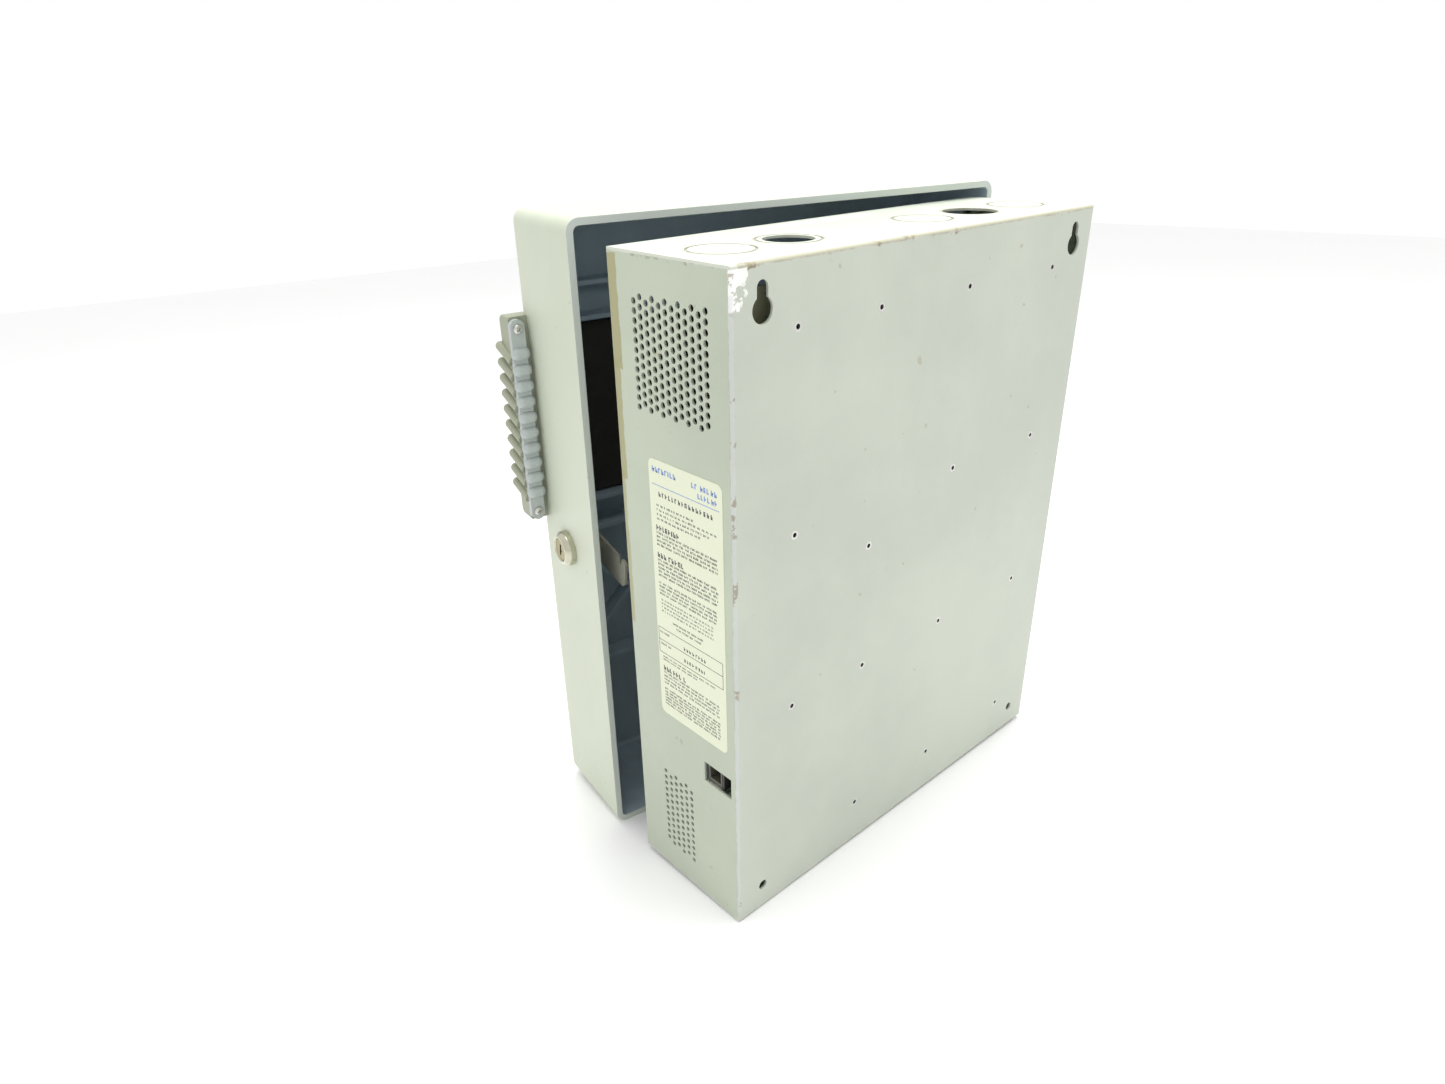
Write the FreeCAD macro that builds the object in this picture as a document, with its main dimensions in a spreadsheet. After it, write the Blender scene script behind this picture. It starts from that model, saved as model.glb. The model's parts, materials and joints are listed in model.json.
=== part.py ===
import FreeCAD, Part
import math
import os
import re
import Sketcher

# Wall-mounted control panel: a sheet-metal back box with a populated circuit
# board, and a deep moulded cover that swings on two side hinges and is held by
# a hooked cam lock.  Millimetres, +Z up, the front faces -Y.  The origin is the
# centre of the rear wall's outer face, which is the face that meets the wall.
# The cover is drawn ajar, as it rests with the hook released.

DIMENSIONS = {
    # back box
    "box_width": 322.6, "box_height": 406.4, "box_depth": 95.1,
    "gauge": 1.5, "front_return": 8.0, "bend_radius": 1.4,
    # wall fixings in the rear face
    "keyhole_spacing": 281.4, "keyhole_drop": 22.4, "keyhole_head_radius": 6.75,
    "keyhole_slot_radius": 3.75, "keyhole_rise": 10.4,
    "foot_hole_spacing": 281.0, "foot_hole_height": 18.2, "foot_hole_radius": 3.25,
    # conduit knockouts in the top and bottom flanges
    "knockout_small_radius": 14.3, "knockout_large_radius": 17.45,
    "knockout_ring_radius": 18.5, "ring_width": 1.2, "ring_depth": 0.6, "ring_tab": 3.0,
    "knockout_setback": 43.0,
    # ventilation grilles in both side panels
    "grille_pitch": 5.13, "upper_hole_radius": 1.85, "lower_hole_radius": 1.5,
    "upper_grille_front": 21.0, "upper_grille_drop": 24.9,
    "lower_grille_front": 25.8, "lower_grille_rise": 80.6,
    # service port in the lock-side panel
    "port_width": 24.1, "port_height": 14.5, "port_rear": 5.5, "port_rise": 104.3,
    # labels
    "label_width": 61.0, "label_height": 169.0, "label_thickness": 0.2,
    "label_corner": 4.0, "label_rear": 8.0, "label_centre": 10.3,
    "strip_length": 102.0, "strip_width": 10.0, "strip_left": -31.0, "strip_setback": 8.0,
    # circuit board and its fixings
    "standoff_length": 12.5, "standoff_radius": 3.5, "standoff_foot_radius": 2.6,
    "standoff_bore": 1.45, "board_thickness": 1.6, "board_margin": 13.0,
    "board_notch": 22.0,
    "fix_column_a": 116.4, "fix_column_b": 52.3, "fix_column_c": -28.0, "fix_column_d": -118.3,
    "fix_row_a": 169.1, "fix_row_b": 55.6, "fix_row_c": -57.4, "fix_row_d": -170.0,
    "fix_drop": 28.2, "screw_head_radius": 3.0, "screw_head_height": 2.3,
    # terminal strips
    "strip_column": 118.0, "strip_row": 113.0, "strip_row_shift": -1.0, "terminal_half_width": 8.0,
    "terminal_depth": 14.0, "way_pitch": 10.0, "well_radius": 3.4, "well_floor": 6.0,
    "terminal_screw_radius": 3.0, "terminal_screw_height": 2.6, "wire_mouth": 6.0,
    # transformer and its clamp
    "transformer_x": 72.0, "transformer_z": -114.0, "core_width": 50.0, "core_height": 60.0,
    "core_depth": 40.0, "window_offset": 12.0, "window_width": 8.0, "window_height": 40.0,
    "coil_width": 31.6, "coil_reach": 50.0, "coil_slack": 0.2, "clamp_sheet": 1.2, "clamp_foot": 78.0,
    "clamp_depth": 30.0, "nut_across": 18.0, "nut_rise": 35.5, "nut_height": 3.0, "nut_radius": 3.6,
    # fuses in their clips
    "fuse_x": 69.0, "fuse_length": 28.8, "fuse_radius": 2.6, "fuse_lift": 5.6, "fuse_row": -50.0,
    "fuse_pitch": 18.0, "clip_spread": 13.0, "clip_width": 3.0, "clip_height": 8.0, "clip_depth": 9.0,
    # heat sink, regulators and capacitors
    "sink_x": 8.0, "sink_z": -128.0, "sink_width": 62.0, "sink_height": 34.0, "sink_plate": 4.0,
    "sink_lift": 6.0, "sink_depth": 30.0, "sink_foot": 4.0, "fin_pitch": 6.45, "fin_thickness": 1.4,
    "regulator_z": -105.0, "regulator_pitch": 18.0, "regulator_width": 10.0, "regulator_height": 11.6,
    "regulator_depth": 4.5, "regulator_lift": 5.5,
    "capacitor_x": 6.0, "capacitor_z": -82.0, "capacitor_pitch": 22.0, "capacitor_radius": 9.0,
    "capacitor_depth": 30.0,
    # relays, chips, header, lamps and cell
    "relay_x": -88.0, "relay_first": -130.0, "relay_pitch": 24.0, "relay_width": 28.0,
    "relay_height": 18.0, "relay_depth": 16.0, "relay_lift": 0.3,
    "socket_depth": 4.5, "chip_depth": 3.6, "driver_first": -44.0, "driver_pitch": 17.0,
    "driver_width": 7.5, "driver_height": 20.0, "driver_depth": 4.0, "driver_lift": 0.4,
    "header_x": 10.0, "header_z": 66.0, "header_width": 52.0, "header_height": 10.0,
    "header_depth": 9.0, "header_wall": 2.0, "pin_half": 0.4, "pin_spread": 46.0, "pin_row": 1.3,
    "lamp_x": -64.0, "lamp_first": -36.0, "lamp_pitch": 9.0, "lamp_radius": 1.5, "lamp_height": 5.0,
    "cell_x": 70.0, "cell_z": 66.0, "cell_radius": 11.5, "cell_thickness": 3.2, "cell_lift": 3.2,
    "holder_wall": 2.0, "holder_depth": 5.6,
    # service jack behind the port
    "jack_length": 20.0, "jack_mouth": 14.0, "jack_clearance": 0.6, "jack_gap": 0.4,
    "jack_wall": 1.6, "jack_floor": 2.8, "jack_roof": 1.6, "contact_width": 0.5,
    "contact_pitch": 1.1, "contact_height": 1.4, "contact_length": 9.9,
    # earth stud
    "stud_inset": 30.0, "stud_setback": 24.0, "stud_radius": 2.4, "stud_height": 14.0,
    "washer_radius": 5.5, "washer_thickness": 1.0, "stud_nut_height": 4.0, "stud_nut_radius": 5.2,
    # screws and rivets of the hinges
    "strap_sink": 0.8, "strap_reach": 26.0, "neck_overlap": 0.5, "pin_head_height": 1.2,
    "pin_head_rim": 1.0, "rivet_height": 0.9, "rivet_station": 20.0, "rivet_tip": 1.4, "rivet_rim": 2.6,
    "strap_screw_station": 18.0, "strap_screw_radius": 1.6, "strap_screw_bite": 2.5,
    "strap_screw_rise": 1.3, "strap_screw_rim": 3.0, "strap_screw_tip": 2.2,
    # inner panel on its bosses
    "boss_height": 4.0, "boss_radius": 5.0, "panel_margin": 8.0, "panel_thickness": 2.0,
    "panel_bottom": 23.5, "panel_top": 141.0, "panel_screw_radius": 1.4, "panel_screw_rise": 1.8,
    "panel_screw_rim": 2.9, "panel_screw_tip": 2.1, "panel_screw_play": 0.2,
    # fine sizes of the grip
    "bar_bulge": 0.8, "bar_rear_drop": 5.5, "bar_front_rise": 2.0, "strip_inboard": 8.7,
    "strip_outboard": 0.7, "strip_end_radius": 4.6, "bead_inset": 2.2, "bead_sink": 0.8,
    "strip_screw_x": 4.0, "strip_screw_z": 7.0, "strip_screw_bite": 6.0, "strip_screw_radius": 1.3,
    "strip_screw_rise": 1.9, "strip_screw_rim": 3.1, "strip_screw_tip": 2.3, "strip_seat_radius": 4.0,
    "grip_screw_z": 10.0, "grip_screw_bite": 6.0, "grip_screw_rise": 1.6,
    # fine sizes of the lock
    "bezel_bevel": 3.0, "bezel_step": 2.6, "bezel_lip": 2.0, "bezel_bore": 1.3, "bezel_recess": 2.4,
    "lock_nut_height": 5.0, "lock_nut_margin": 4.0, "plug_flange": 1.2, "plug_sink": 0.8,
    "tail_half": 3.5, "keyway_depth": 12.0, "keyway_half": 4.2, "cam_screw_radius": 1.8,
    "cam_screw_bite": 6.0, "cam_screw_rise": 2.2, "cam_screw_tip": 3.4, "cam_screw_rim": 4.4,
    "hook_chamfer": 3.0, "notch_chamfer": 2.0,
    # cover
    "cover_depth": 80.0, "cover_wall": 4.2, "cover_lap": 9.1, "side_gap": 2.5,
    "top_gap": 6.7, "bottom_gap": 2.5, "cover_corner": 8.0, "cover_front_round": 7.0,
    "rib_height": 14.0, "rib_thickness": 3.0, "ajar_angle": 8.0,
    # hinges
    "hinge_out": 3.9, "hinge_back": 26.0, "hinge_spread": 80.0, "hinge_length": 60.0,
    "hinge_middle": 22.0, "knuckle_radius": 3.2, "knuckle_gap": 0.4, "pin_radius": 1.5,
    "pin_clearance": 0.05, "leaf_thickness": 1.2, "leaf_reach": 30.0, "strap_thickness": 1.0,
    # cam lock
    "lock_setback": 40.0, "lock_height": 1.0, "barrel_radius": 9.4, "barrel_length": 16.5,
    "plug_radius": 6.3, "plug_clearance": 0.06, "bezel_radius": 12.0, "bezel_height": 7.0,
    "cam_thickness": 2.0, "cam_half_width": 10.0, "cam_reach": 46.0, "cam_droop": 10.0,
    "hook_reach": 38.5, "hook_depth": 6.0, "hook_clearance": 1.6, "strike_drop": 5.0,
    "strike_height": 20.0, "strike_reach": 17.0,
    # ribbed grip on the cover's front corner
    "grip_screw_setback": 8.0, "grip_screw_radius": 1.5, "grip_screw_head": 2.0,
    "grip_top": 151.0, "grip_length": 137.0, "grip_out": 12.5, "grip_wrap": 7.0,
    "grip_ahead": 6.0, "grip_behind": 10.0, "bead_pitch": 10.4, "bead_radius": 4.1, "bead_length": 4.3,
    "bead_first": 22.5, "bar_radius": 3.2, "strip_gap": 0.5, "strip_thickness": 4.0,
}

doc = FreeCAD.newDocument("ControlPanel")
sheet = doc.addObject("Spreadsheet::Sheet", "Dims")
for row, (alias, size) in enumerate(DIMENSIONS.items(), 1):
    sheet.set("A%d" % row, alias)
    sheet.set("B%d" % row, str(size))
    sheet.setAlias("B%d" % row, alias)
doc.recompute()

NAMED = re.compile(r"\b(" + "|".join(DIMENSIONS) + r")\b")
SOLIDS = []          # every finished sub-part, in the order it was made


# ---------------------------------------------------------------- formulas
def sheet_formula(formula):
    """The formula with each dimension name pointing at its spreadsheet cell."""
    return NAMED.sub(r"Dims.\1", str(formula))


def value(formula):
    """The formula's present value in millimetres or degrees."""
    return float(sheet.evalExpression(sheet_formula(formula)))


def bind(obj, prop, formula):
    obj.setExpression(prop, sheet_formula(formula))


# Places that several pieces share, as formulas.
BOX_RIGHT = "(box_width/2)"
BOX_TOP = "(box_height/2)"
PANEL_INSIDE = "(box_width/2 - gauge)"
BOARD_BACK = "(-gauge - standoff_length)"
BOARD_FRONT = "(-gauge - standoff_length - board_thickness)"
HINGE_X = "(-box_width/2 - hinge_out)"
HINGE_Y = "(-box_depth + cover_lap + hinge_back)"
# The cover's own frame has its origin on the hinge axis.
COVER_LEFT = "(hinge_out - side_gap - cover_wall)"
COVER_RIGHT = "(hinge_out + box_width + side_gap + cover_wall)"
COVER_RIM = "(-hinge_back)"
COVER_FRONT = "(-hinge_back - cover_depth)"
COVER_TOP = "(box_height/2 + top_gap + cover_wall)"
COVER_BOTTOM = "(-box_height/2 - bottom_gap - cover_wall)"
LOCK_Y = "(-hinge_back - lock_setback)"

AJAR = FreeCAD.Placement(
    FreeCAD.Vector(value(HINGE_X), value(HINGE_Y), 0),
    FreeCAD.Rotation(FreeCAD.Vector(0, 0, 1), -value("ajar_angle")))
ON_LOCK_AXIS = AJAR.multiply(FreeCAD.Placement(
    FreeCAD.Vector(value(COVER_RIGHT), value(LOCK_Y), value("lock_height")), FreeCAD.Rotation()))
DROOPED = ON_LOCK_AXIS.multiply(FreeCAD.Placement(
    FreeCAD.Vector(), FreeCAD.Rotation(FreeCAD.Vector(1, 0, 0), -value("cam_droop"))))
AT_HOME = FreeCAD.Placement()


# ---------------------------------------------------------------- primitives
def finish(obj, label, placement=AT_HOME):
    """Names a finished sub-part and puts it where its body stands."""
    obj.Label = label
    obj.Placement = placement
    SOLIDS.append(obj)
    return obj


def block(x_low, x_high, y_low, y_high, z_low, z_high):
    obj = doc.addObject("Part::Box", "block")
    spans = ((x_low, x_high, "Length", "x"), (y_low, y_high, "Width", "y"), (z_low, z_high, "Height", "z"))
    for low, high, side, axis in spans:
        bind(obj, side, "(%s) - (%s)" % (high, low))
        bind(obj, "Placement.Base." + axis, low)
    return obj


TURNS = {
    "x": (FreeCAD.Rotation(FreeCAD.Vector(0, 1, 0), 90), "xyz"),
    "y": (FreeCAD.Rotation(FreeCAD.Vector(1, 0, 0), -90), "yxz"),
    "z": (FreeCAD.Rotation(), "zxy"),
}


def along(obj, axis, low, across, up):
    """Turns a shape that stands on +Z to run along an axis, starting at low."""
    turn, order = TURNS[axis]
    obj.Placement = FreeCAD.Placement(FreeCAD.Vector(), turn)
    for letter, formula in zip(order, (low, across, up)):
        bind(obj, "Placement.Base." + letter, formula)
    return obj


def rod(axis, low, high, across, up, radius):
    """A round bar: across and up are its centre in the other two axes' order."""
    obj = doc.addObject("Part::Cylinder", "rod")
    bind(obj, "Radius", radius)
    bind(obj, "Height", "(%s) - (%s)" % (high, low))
    return along(obj, axis, low, across, up)


def dome(axis, low, height, across, up, radius, tip_radius):
    obj = doc.addObject("Part::Cone", "dome")
    bind(obj, "Radius1", radius)
    bind(obj, "Radius2", tip_radius)
    bind(obj, "Height", height)
    return along(obj, axis, low, across, up)


def hexagon(axis, low, height, across, up, radius):
    obj = doc.addObject("Part::Prism", "hexagon")
    obj.Polygon = 6
    bind(obj, "Circumradius", radius)
    bind(obj, "Height", height)
    return along(obj, axis, low, across, up)


def group(pieces):
    """Pieces that stay separate solids in one sub-part."""
    obj = doc.addObject("Part::Compound", "group")
    obj.Links = list(pieces)
    return obj


def fuse(pieces):
    obj = doc.addObject("Part::MultiFuse", "joined")
    obj.Shapes = list(pieces)
    return obj


def cut(base, tools):
    obj = doc.addObject("Part::Cut", "cut")
    obj.Base = base
    obj.Tool = tools[0] if len(tools) == 1 else group(tools)
    return obj


def common(first, second):
    """What two shapes share."""
    obj = doc.addObject("Part::Common", "shared")
    obj.Base = first
    obj.Tool = second
    return obj


# ---------------------------------------------------------------- sketches and bodies
def new_body(name):
    return doc.addObject("PartDesign::Body", name)


def sketch_on(body, plane, name, offset="0"):
    """A sketch on one of the body's origin planes, moved along its normal."""
    sketch = body.newObject("Sketcher::SketchObject", name)
    origin_plane = [f for f in body.Origin.OriginFeatures if f.Role == plane][0]
    sketch.AttachmentSupport = [(origin_plane, "")]
    sketch.MapMode = "FlatFace"
    bind(sketch, "AttachmentOffset.Base.z", offset)
    return sketch


def hold(sketch, kind, geometry, point, formula):
    """Ties one coordinate of a point, or a radius, to a formula."""
    size = value(formula)
    if kind == "Radius":
        number = sketch.addConstraint(Sketcher.Constraint(kind, geometry, size))
    else:
        number = sketch.addConstraint(Sketcher.Constraint(kind, -1, 1, geometry, point, size))
    bind(sketch, "Constraints[%d]" % number, formula)


def outline(sketch, corners):
    """A closed polygon whose corners follow formulas."""
    first = sketch.GeometryCount
    count = len(corners)
    spots = [FreeCAD.Vector(value(x), value(y), 0) for x, y in corners]
    for i in range(count):
        sketch.addGeometry(Part.LineSegment(spots[i], spots[(i + 1) % count]), False)
    for i, (x, y) in enumerate(corners):
        sketch.addConstraint(Sketcher.Constraint(
            "Coincident", first + i, 2, first + (i + 1) % count, 1))
        hold(sketch, "DistanceX", first + i, 1, x)
        hold(sketch, "DistanceY", first + i, 1, y)


def rectangle(sketch, x_low, x_high, y_low, y_high):
    outline(sketch, [(x_low, y_low), (x_high, y_low), (x_high, y_high), (x_low, y_high)])


def circle(sketch, x, y, radius):
    number = sketch.addGeometry(Part.Circle(
        FreeCAD.Vector(value(x), value(y), 0), FreeCAD.Vector(0, 0, 1), value(radius)), False)
    hold(sketch, "DistanceX", number, 3, x)
    hold(sketch, "DistanceY", number, 3, y)
    hold(sketch, "Radius", number, 3, radius)


def pad(body, sketch, length, midplane=False, reverse=False):
    feature = body.newObject("PartDesign::Pad", sketch.Name + "_pad")
    feature.Profile = sketch
    bind(feature, "Length", length)
    feature.Midplane = midplane
    feature.Reversed = reverse
    return feature


def pocket(body, sketch, depth):
    """A cut to the same depth on both sides of the sketch's plane."""
    feature = body.newObject("PartDesign::Pocket", sketch.Name + "_pocket")
    feature.Profile = sketch
    feature.Midplane = True
    bind(feature, "Length", "2 * (%s)" % depth)
    return feature


def spin(body, sketch):
    """A solid of revolution about the sketch's horizontal axis."""
    feature = body.newObject("PartDesign::Revolution", sketch.Name + "_spin")
    feature.Profile = sketch
    feature.ReferenceAxis = (sketch, ["H_Axis"])
    feature.Angle = 360
    return feature


def repeat(body, feature, sketch, rows, row_pitch, columns, column_pitch):
    """Rows down the sketch's vertical axis and columns along its horizontal axis."""
    pattern = body.newObject("PartDesign::LinearPattern", feature.Name + "_grid")
    pattern.Originals = [feature]
    pattern.Direction = (sketch, ["V_Axis"])
    pattern.Reversed = True
    pattern.Occurrences = rows
    bind(pattern, "Length", "%d * (%s)" % (rows - 1, row_pitch))
    pattern.Direction2 = (sketch, ["H_Axis"])
    pattern.Occurrences2 = columns
    bind(pattern, "Length2", "%d * (%s)" % (columns - 1, column_pitch))
    body.Tip = pattern
    return pattern


def round_edges(body, radius, wanted):
    """Fillets the edges of the body's present shape that the test picks."""
    doc.recompute()
    tip = body.Tip
    names = ["Edge%d" % i for i, edge in enumerate(tip.Shape.Edges, 1) if wanted(edge)]
    if not names:
        raise RuntimeError("no edge to round on " + body.Name)
    feature = body.newObject("PartDesign::Fillet", body.Name + "_round")
    feature.Base = (tip, names)
    bind(feature, "Radius", radius)
    return feature


def runs_along(edge, axis):
    """True for a straight edge parallel to x, y or z."""
    box = edge.BoundBox
    spans = {"x": box.XLength, "y": box.YLength, "z": box.ZLength}
    return all(span < 0.01 for name, span in spans.items() if name != axis) and spans[axis] > 0.01


def near(a, b):
    return abs(a - b) < 0.01


# ---------------------------------------------------------------- back box
KEYHOLES = ["(keyhole_spacing/2)", "(-keyhole_spacing/2)"]
FOOT_HOLES = ["(foot_hole_spacing/2)", "(-foot_hole_spacing/2)"]
FIXINGS = [(x, z) for z in ("fix_row_a", "fix_row_b", "fix_row_c", "fix_row_d")
           for x in ("fix_column_a", "fix_column_b", "fix_column_c", "fix_column_d")
           if (x, z) not in (("fix_column_b", "fix_row_b"), ("fix_column_a", "fix_row_d"))]
FIXINGS.append(("fix_column_b", "fix_row_b - fix_drop"))
# knockout: distance from the box's middle, and the radius of what is punched out
CLOSED = None
TOP_KNOCKOUTS = [("128", CLOSED), ("80", "knockout_small_radius"), ("-35", CLOSED),
                 ("-84", "knockout_large_radius"), ("-136", CLOSED)]
BOTTOM_KNOCKOUTS = [(x, CLOSED) for x, _ in TOP_KNOCKOUTS]


def knock_out(body, name, flange, knockouts):
    """Punched holes, coined rings round them, and the tabs that bridge the rings."""
    rings = sketch_on(body, "XY_Plane", name + "_rings", flange)
    for x, hole in knockouts:
        if hole != "knockout_large_radius":
            circle(rings, x, "-knockout_setback", "knockout_ring_radius")
            circle(rings, x, "-knockout_setback", "knockout_ring_radius - ring_width")
    pocket(body, rings, "ring_depth")
    holes = [(x, hole) for x, hole in knockouts if hole]
    if holes:
        punched = sketch_on(body, "XY_Plane", name + "_holes", flange)
        for x, hole in holes:
            circle(punched, x, "-knockout_setback", hole)
        pocket(body, punched, "2*gauge")
    tabs = sketch_on(body, "XY_Plane", name + "_tabs", flange)
    for x, hole in knockouts:
        if hole != "knockout_large_radius":
            left = "%s - knockout_ring_radius" % x
            rectangle(tabs, left + " - 0.2", left + " + ring_width + 0.2",
                      "-knockout_setback - ring_tab/2", "-knockout_setback + ring_tab/2")
    return pad(body, tabs, "ring_depth", reverse=flange == BOX_TOP)


def back_wrap():
    """Rear wall with top and bottom flanges, bent from one sheet and stored as three plates."""
    body = new_body("folded_sheet")
    channel = sketch_on(body, "YZ_Plane", "channel")
    outline(channel, [
        ("0", "-box_height/2"), ("0", "box_height/2"), ("-box_depth", "box_height/2"),
        ("-box_depth", "box_height/2 - gauge"), ("-gauge", "box_height/2 - gauge"),
        ("-gauge", "gauge - box_height/2"), ("-box_depth", "gauge - box_height/2"),
        ("-box_depth", "-box_height/2")])
    pad(body, channel, "box_width", midplane=True)
    returns = sketch_on(body, "YZ_Plane", "front_returns")
    rectangle(returns, "-box_depth", "gauge - box_depth",
              "box_height/2 - front_return", "box_height/2 - gauge/2")
    rectangle(returns, "-box_depth", "gauge - box_depth",
              "gauge/2 - box_height/2", "front_return - box_height/2")
    pad(body, returns, "box_width - 2*gauge", midplane=True)
    wall = sketch_on(body, "XZ_Plane", "wall_holes")
    for x in KEYHOLES:
        circle(wall, x, "box_height/2 - keyhole_drop", "keyhole_head_radius")
    for x in FOOT_HOLES:
        circle(wall, x, "foot_hole_height - box_height/2", "foot_hole_radius")
    for x, z in FIXINGS:
        circle(wall, x, z, "standoff_foot_radius")
    pocket(body, wall, "2*gauge")
    slots = sketch_on(body, "XZ_Plane", "keyhole_slots")
    for x in KEYHOLES:
        rectangle(slots, x + " - keyhole_slot_radius", x + " + keyhole_slot_radius",
                  "box_height/2 - keyhole_drop", "box_height/2 - keyhole_drop + keyhole_rise")
    pocket(body, slots, "2*gauge")
    slot_ends = sketch_on(body, "XZ_Plane", "keyhole_slot_ends")
    for x in KEYHOLES:
        circle(slot_ends, x, "box_height/2 - keyhole_drop + keyhole_rise", "keyhole_slot_radius")
    pocket(body, slot_ends, "2*gauge")
    knock_out(body, "top", BOX_TOP, TOP_KNOCKOUTS)
    knock_out(body, "bottom", "(-box_height/2)", BOTTOM_KNOCKOUTS)
    half_height, half_width = value(BOX_TOP), value(BOX_RIGHT)
    round_edges(body, "bend_radius", lambda e: near(e.BoundBox.YMin, 0) and near(e.BoundBox.YMax, 0) and (
        (runs_along(e, "x") and near(abs(e.BoundBox.ZMin), half_height))
        or (runs_along(e, "z") and near(abs(e.BoundBox.XMin), half_width))))
    wall = block("-box_width/2", BOX_RIGHT, "-gauge", "0", "gauge - box_height/2", "box_height/2 - gauge")
    finish(common(body, wall), "rear_wall")
    around = ("-box_width/2", BOX_RIGHT, "-box_depth", "0")
    finish(cut(common(body, block(*around, "0", BOX_TOP)), [wall]), "top_flange")
    finish(cut(common(body, block(*around, "-box_height/2", "0")), [wall]), "bottom_flange")


def side_panel(label, outside, return_low, port):
    """One perforated side panel; outside is the low X of its sheet."""
    body = new_body(label)
    plate = sketch_on(body, "YZ_Plane", label + "_plate", outside)
    rectangle(plate, "-box_depth", "-gauge", "gauge - box_height/2", "box_height/2 - gauge")
    pad(body, plate, "gauge")
    lip = sketch_on(body, "YZ_Plane", label + "_return", return_low)
    rectangle(lip, "-box_depth", "gauge - box_depth",
              "front_return - box_height/2", "box_height/2 - front_return")
    pad(body, lip, "front_return")
    if port:
        opening = sketch_on(body, "YZ_Plane", label + "_port", outside)
        rectangle(opening, "-port_rear - port_width", "-port_rear",
                  "port_rise - port_height/2 - box_height/2", "port_rise + port_height/2 - box_height/2")
        pocket(body, opening, "2*gauge")
    upper = sketch_on(body, "YZ_Plane", label + "_upper_holes", outside)
    top = "box_height/2 - upper_grille_drop"
    circle(upper, "-box_depth + upper_grille_front", top, "upper_hole_radius")
    circle(upper, "-box_depth + upper_grille_front + grille_pitch", top + " + grille_pitch/2",
           "upper_hole_radius")
    repeat(body, pocket(body, upper, "2*gauge"), upper, 12, "grille_pitch", 6, "2*grille_pitch")
    lower = sketch_on(body, "YZ_Plane", label + "_lower_holes", outside)
    top = "lower_grille_rise - box_height/2"
    circle(lower, "-box_depth + lower_grille_front", top, "lower_hole_radius")
    circle(lower, "-box_depth + lower_grille_front + grille_pitch", top + " - grille_pitch/2",
           "lower_hole_radius")
    repeat(body, pocket(body, lower, "2*gauge"), lower, 12, "grille_pitch", 3, "2*grille_pitch")
    return finish(body, label)


def labels():
    """The printed rating label on the lock side and the paper strip on top."""
    body = new_body("rating_label")
    face = sketch_on(body, "YZ_Plane", "label_face", BOX_RIGHT)
    rectangle(face, "-label_rear - label_width", "-label_rear",
              "label_centre - label_height/2", "label_centre + label_height/2")
    pad(body, face, "label_thickness")
    round_edges(body, "label_corner", lambda e: runs_along(e, "x"))
    finish(body, "rating_label")
    strip = block("strip_left", "strip_left + strip_length", "strip_setback - box_depth",
                  "strip_setback + strip_width - box_depth", BOX_TOP, "box_height/2 + label_thickness")
    finish(group([strip]), "top_label")


# ---------------------------------------------------------------- circuit board
def standoffs_and_board():
    """Clinched standoffs, the board they carry, and the screws that hold it."""
    barrels, bores = [], []
    for x, z in FIXINGS:
        barrels.append(fuse([rod("y", BOARD_BACK, "-gauge", x, z, "standoff_radius"),
                             rod("y", "-gauge - 0.5", "0", x, z, "standoff_foot_radius")]))
        bores.append(rod("y", "-gauge - standoff_length - 1", "1", x, z, "standoff_bore"))
    finish(cut(group(barrels), bores), "board_standoffs")

    half_width = "box_width/2 - gauge - board_margin"
    half_height = "box_height/2 - gauge - board_margin"
    sheet_of_board = block("-(%s)" % half_width, half_width, BOARD_FRONT, BOARD_BACK,
                           "-(%s)" % half_height, half_height)
    openings = [rod("y", BOARD_FRONT + " - 1", BOARD_BACK + " + 1", x, z, "standoff_bore")
                for x, z in FIXINGS]
    notch_top = "board_notch + foot_hole_height/2 - box_height/2"
    openings.append(block(half_width + " - board_notch", half_width + " + 1", BOARD_FRONT + " - 1",
                          BOARD_BACK + " + 1", "-box_height/2", notch_top))
    openings.append(block("-(%s) - 1" % half_width, "board_notch - (%s)" % half_width, BOARD_FRONT + " - 1",
                          BOARD_BACK + " + 1", "-box_height/2", notch_top))
    finish(cut(sheet_of_board, openings), "main_circuit_board")

    screws = []
    for x, z in FIXINGS:
        head = dome("y", BOARD_FRONT + " - screw_head_height", "screw_head_height", x, z,
                    "screw_head_radius - 0.8", "screw_head_radius")
        shank = rod("y", BOARD_FRONT + " - 0.5", BOARD_FRONT + " + 9", x, z, "standoff_bore")
        screws.append(fuse([head, shank]))
    finish(group(screws), "board_screws")


# Terminal strips: three down each long side, and the screws in them.
STRIP_ROWS = ["(strip_row + strip_row_shift)", "strip_row_shift", "(strip_row_shift - strip_row)"]
WAYS = 9


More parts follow.
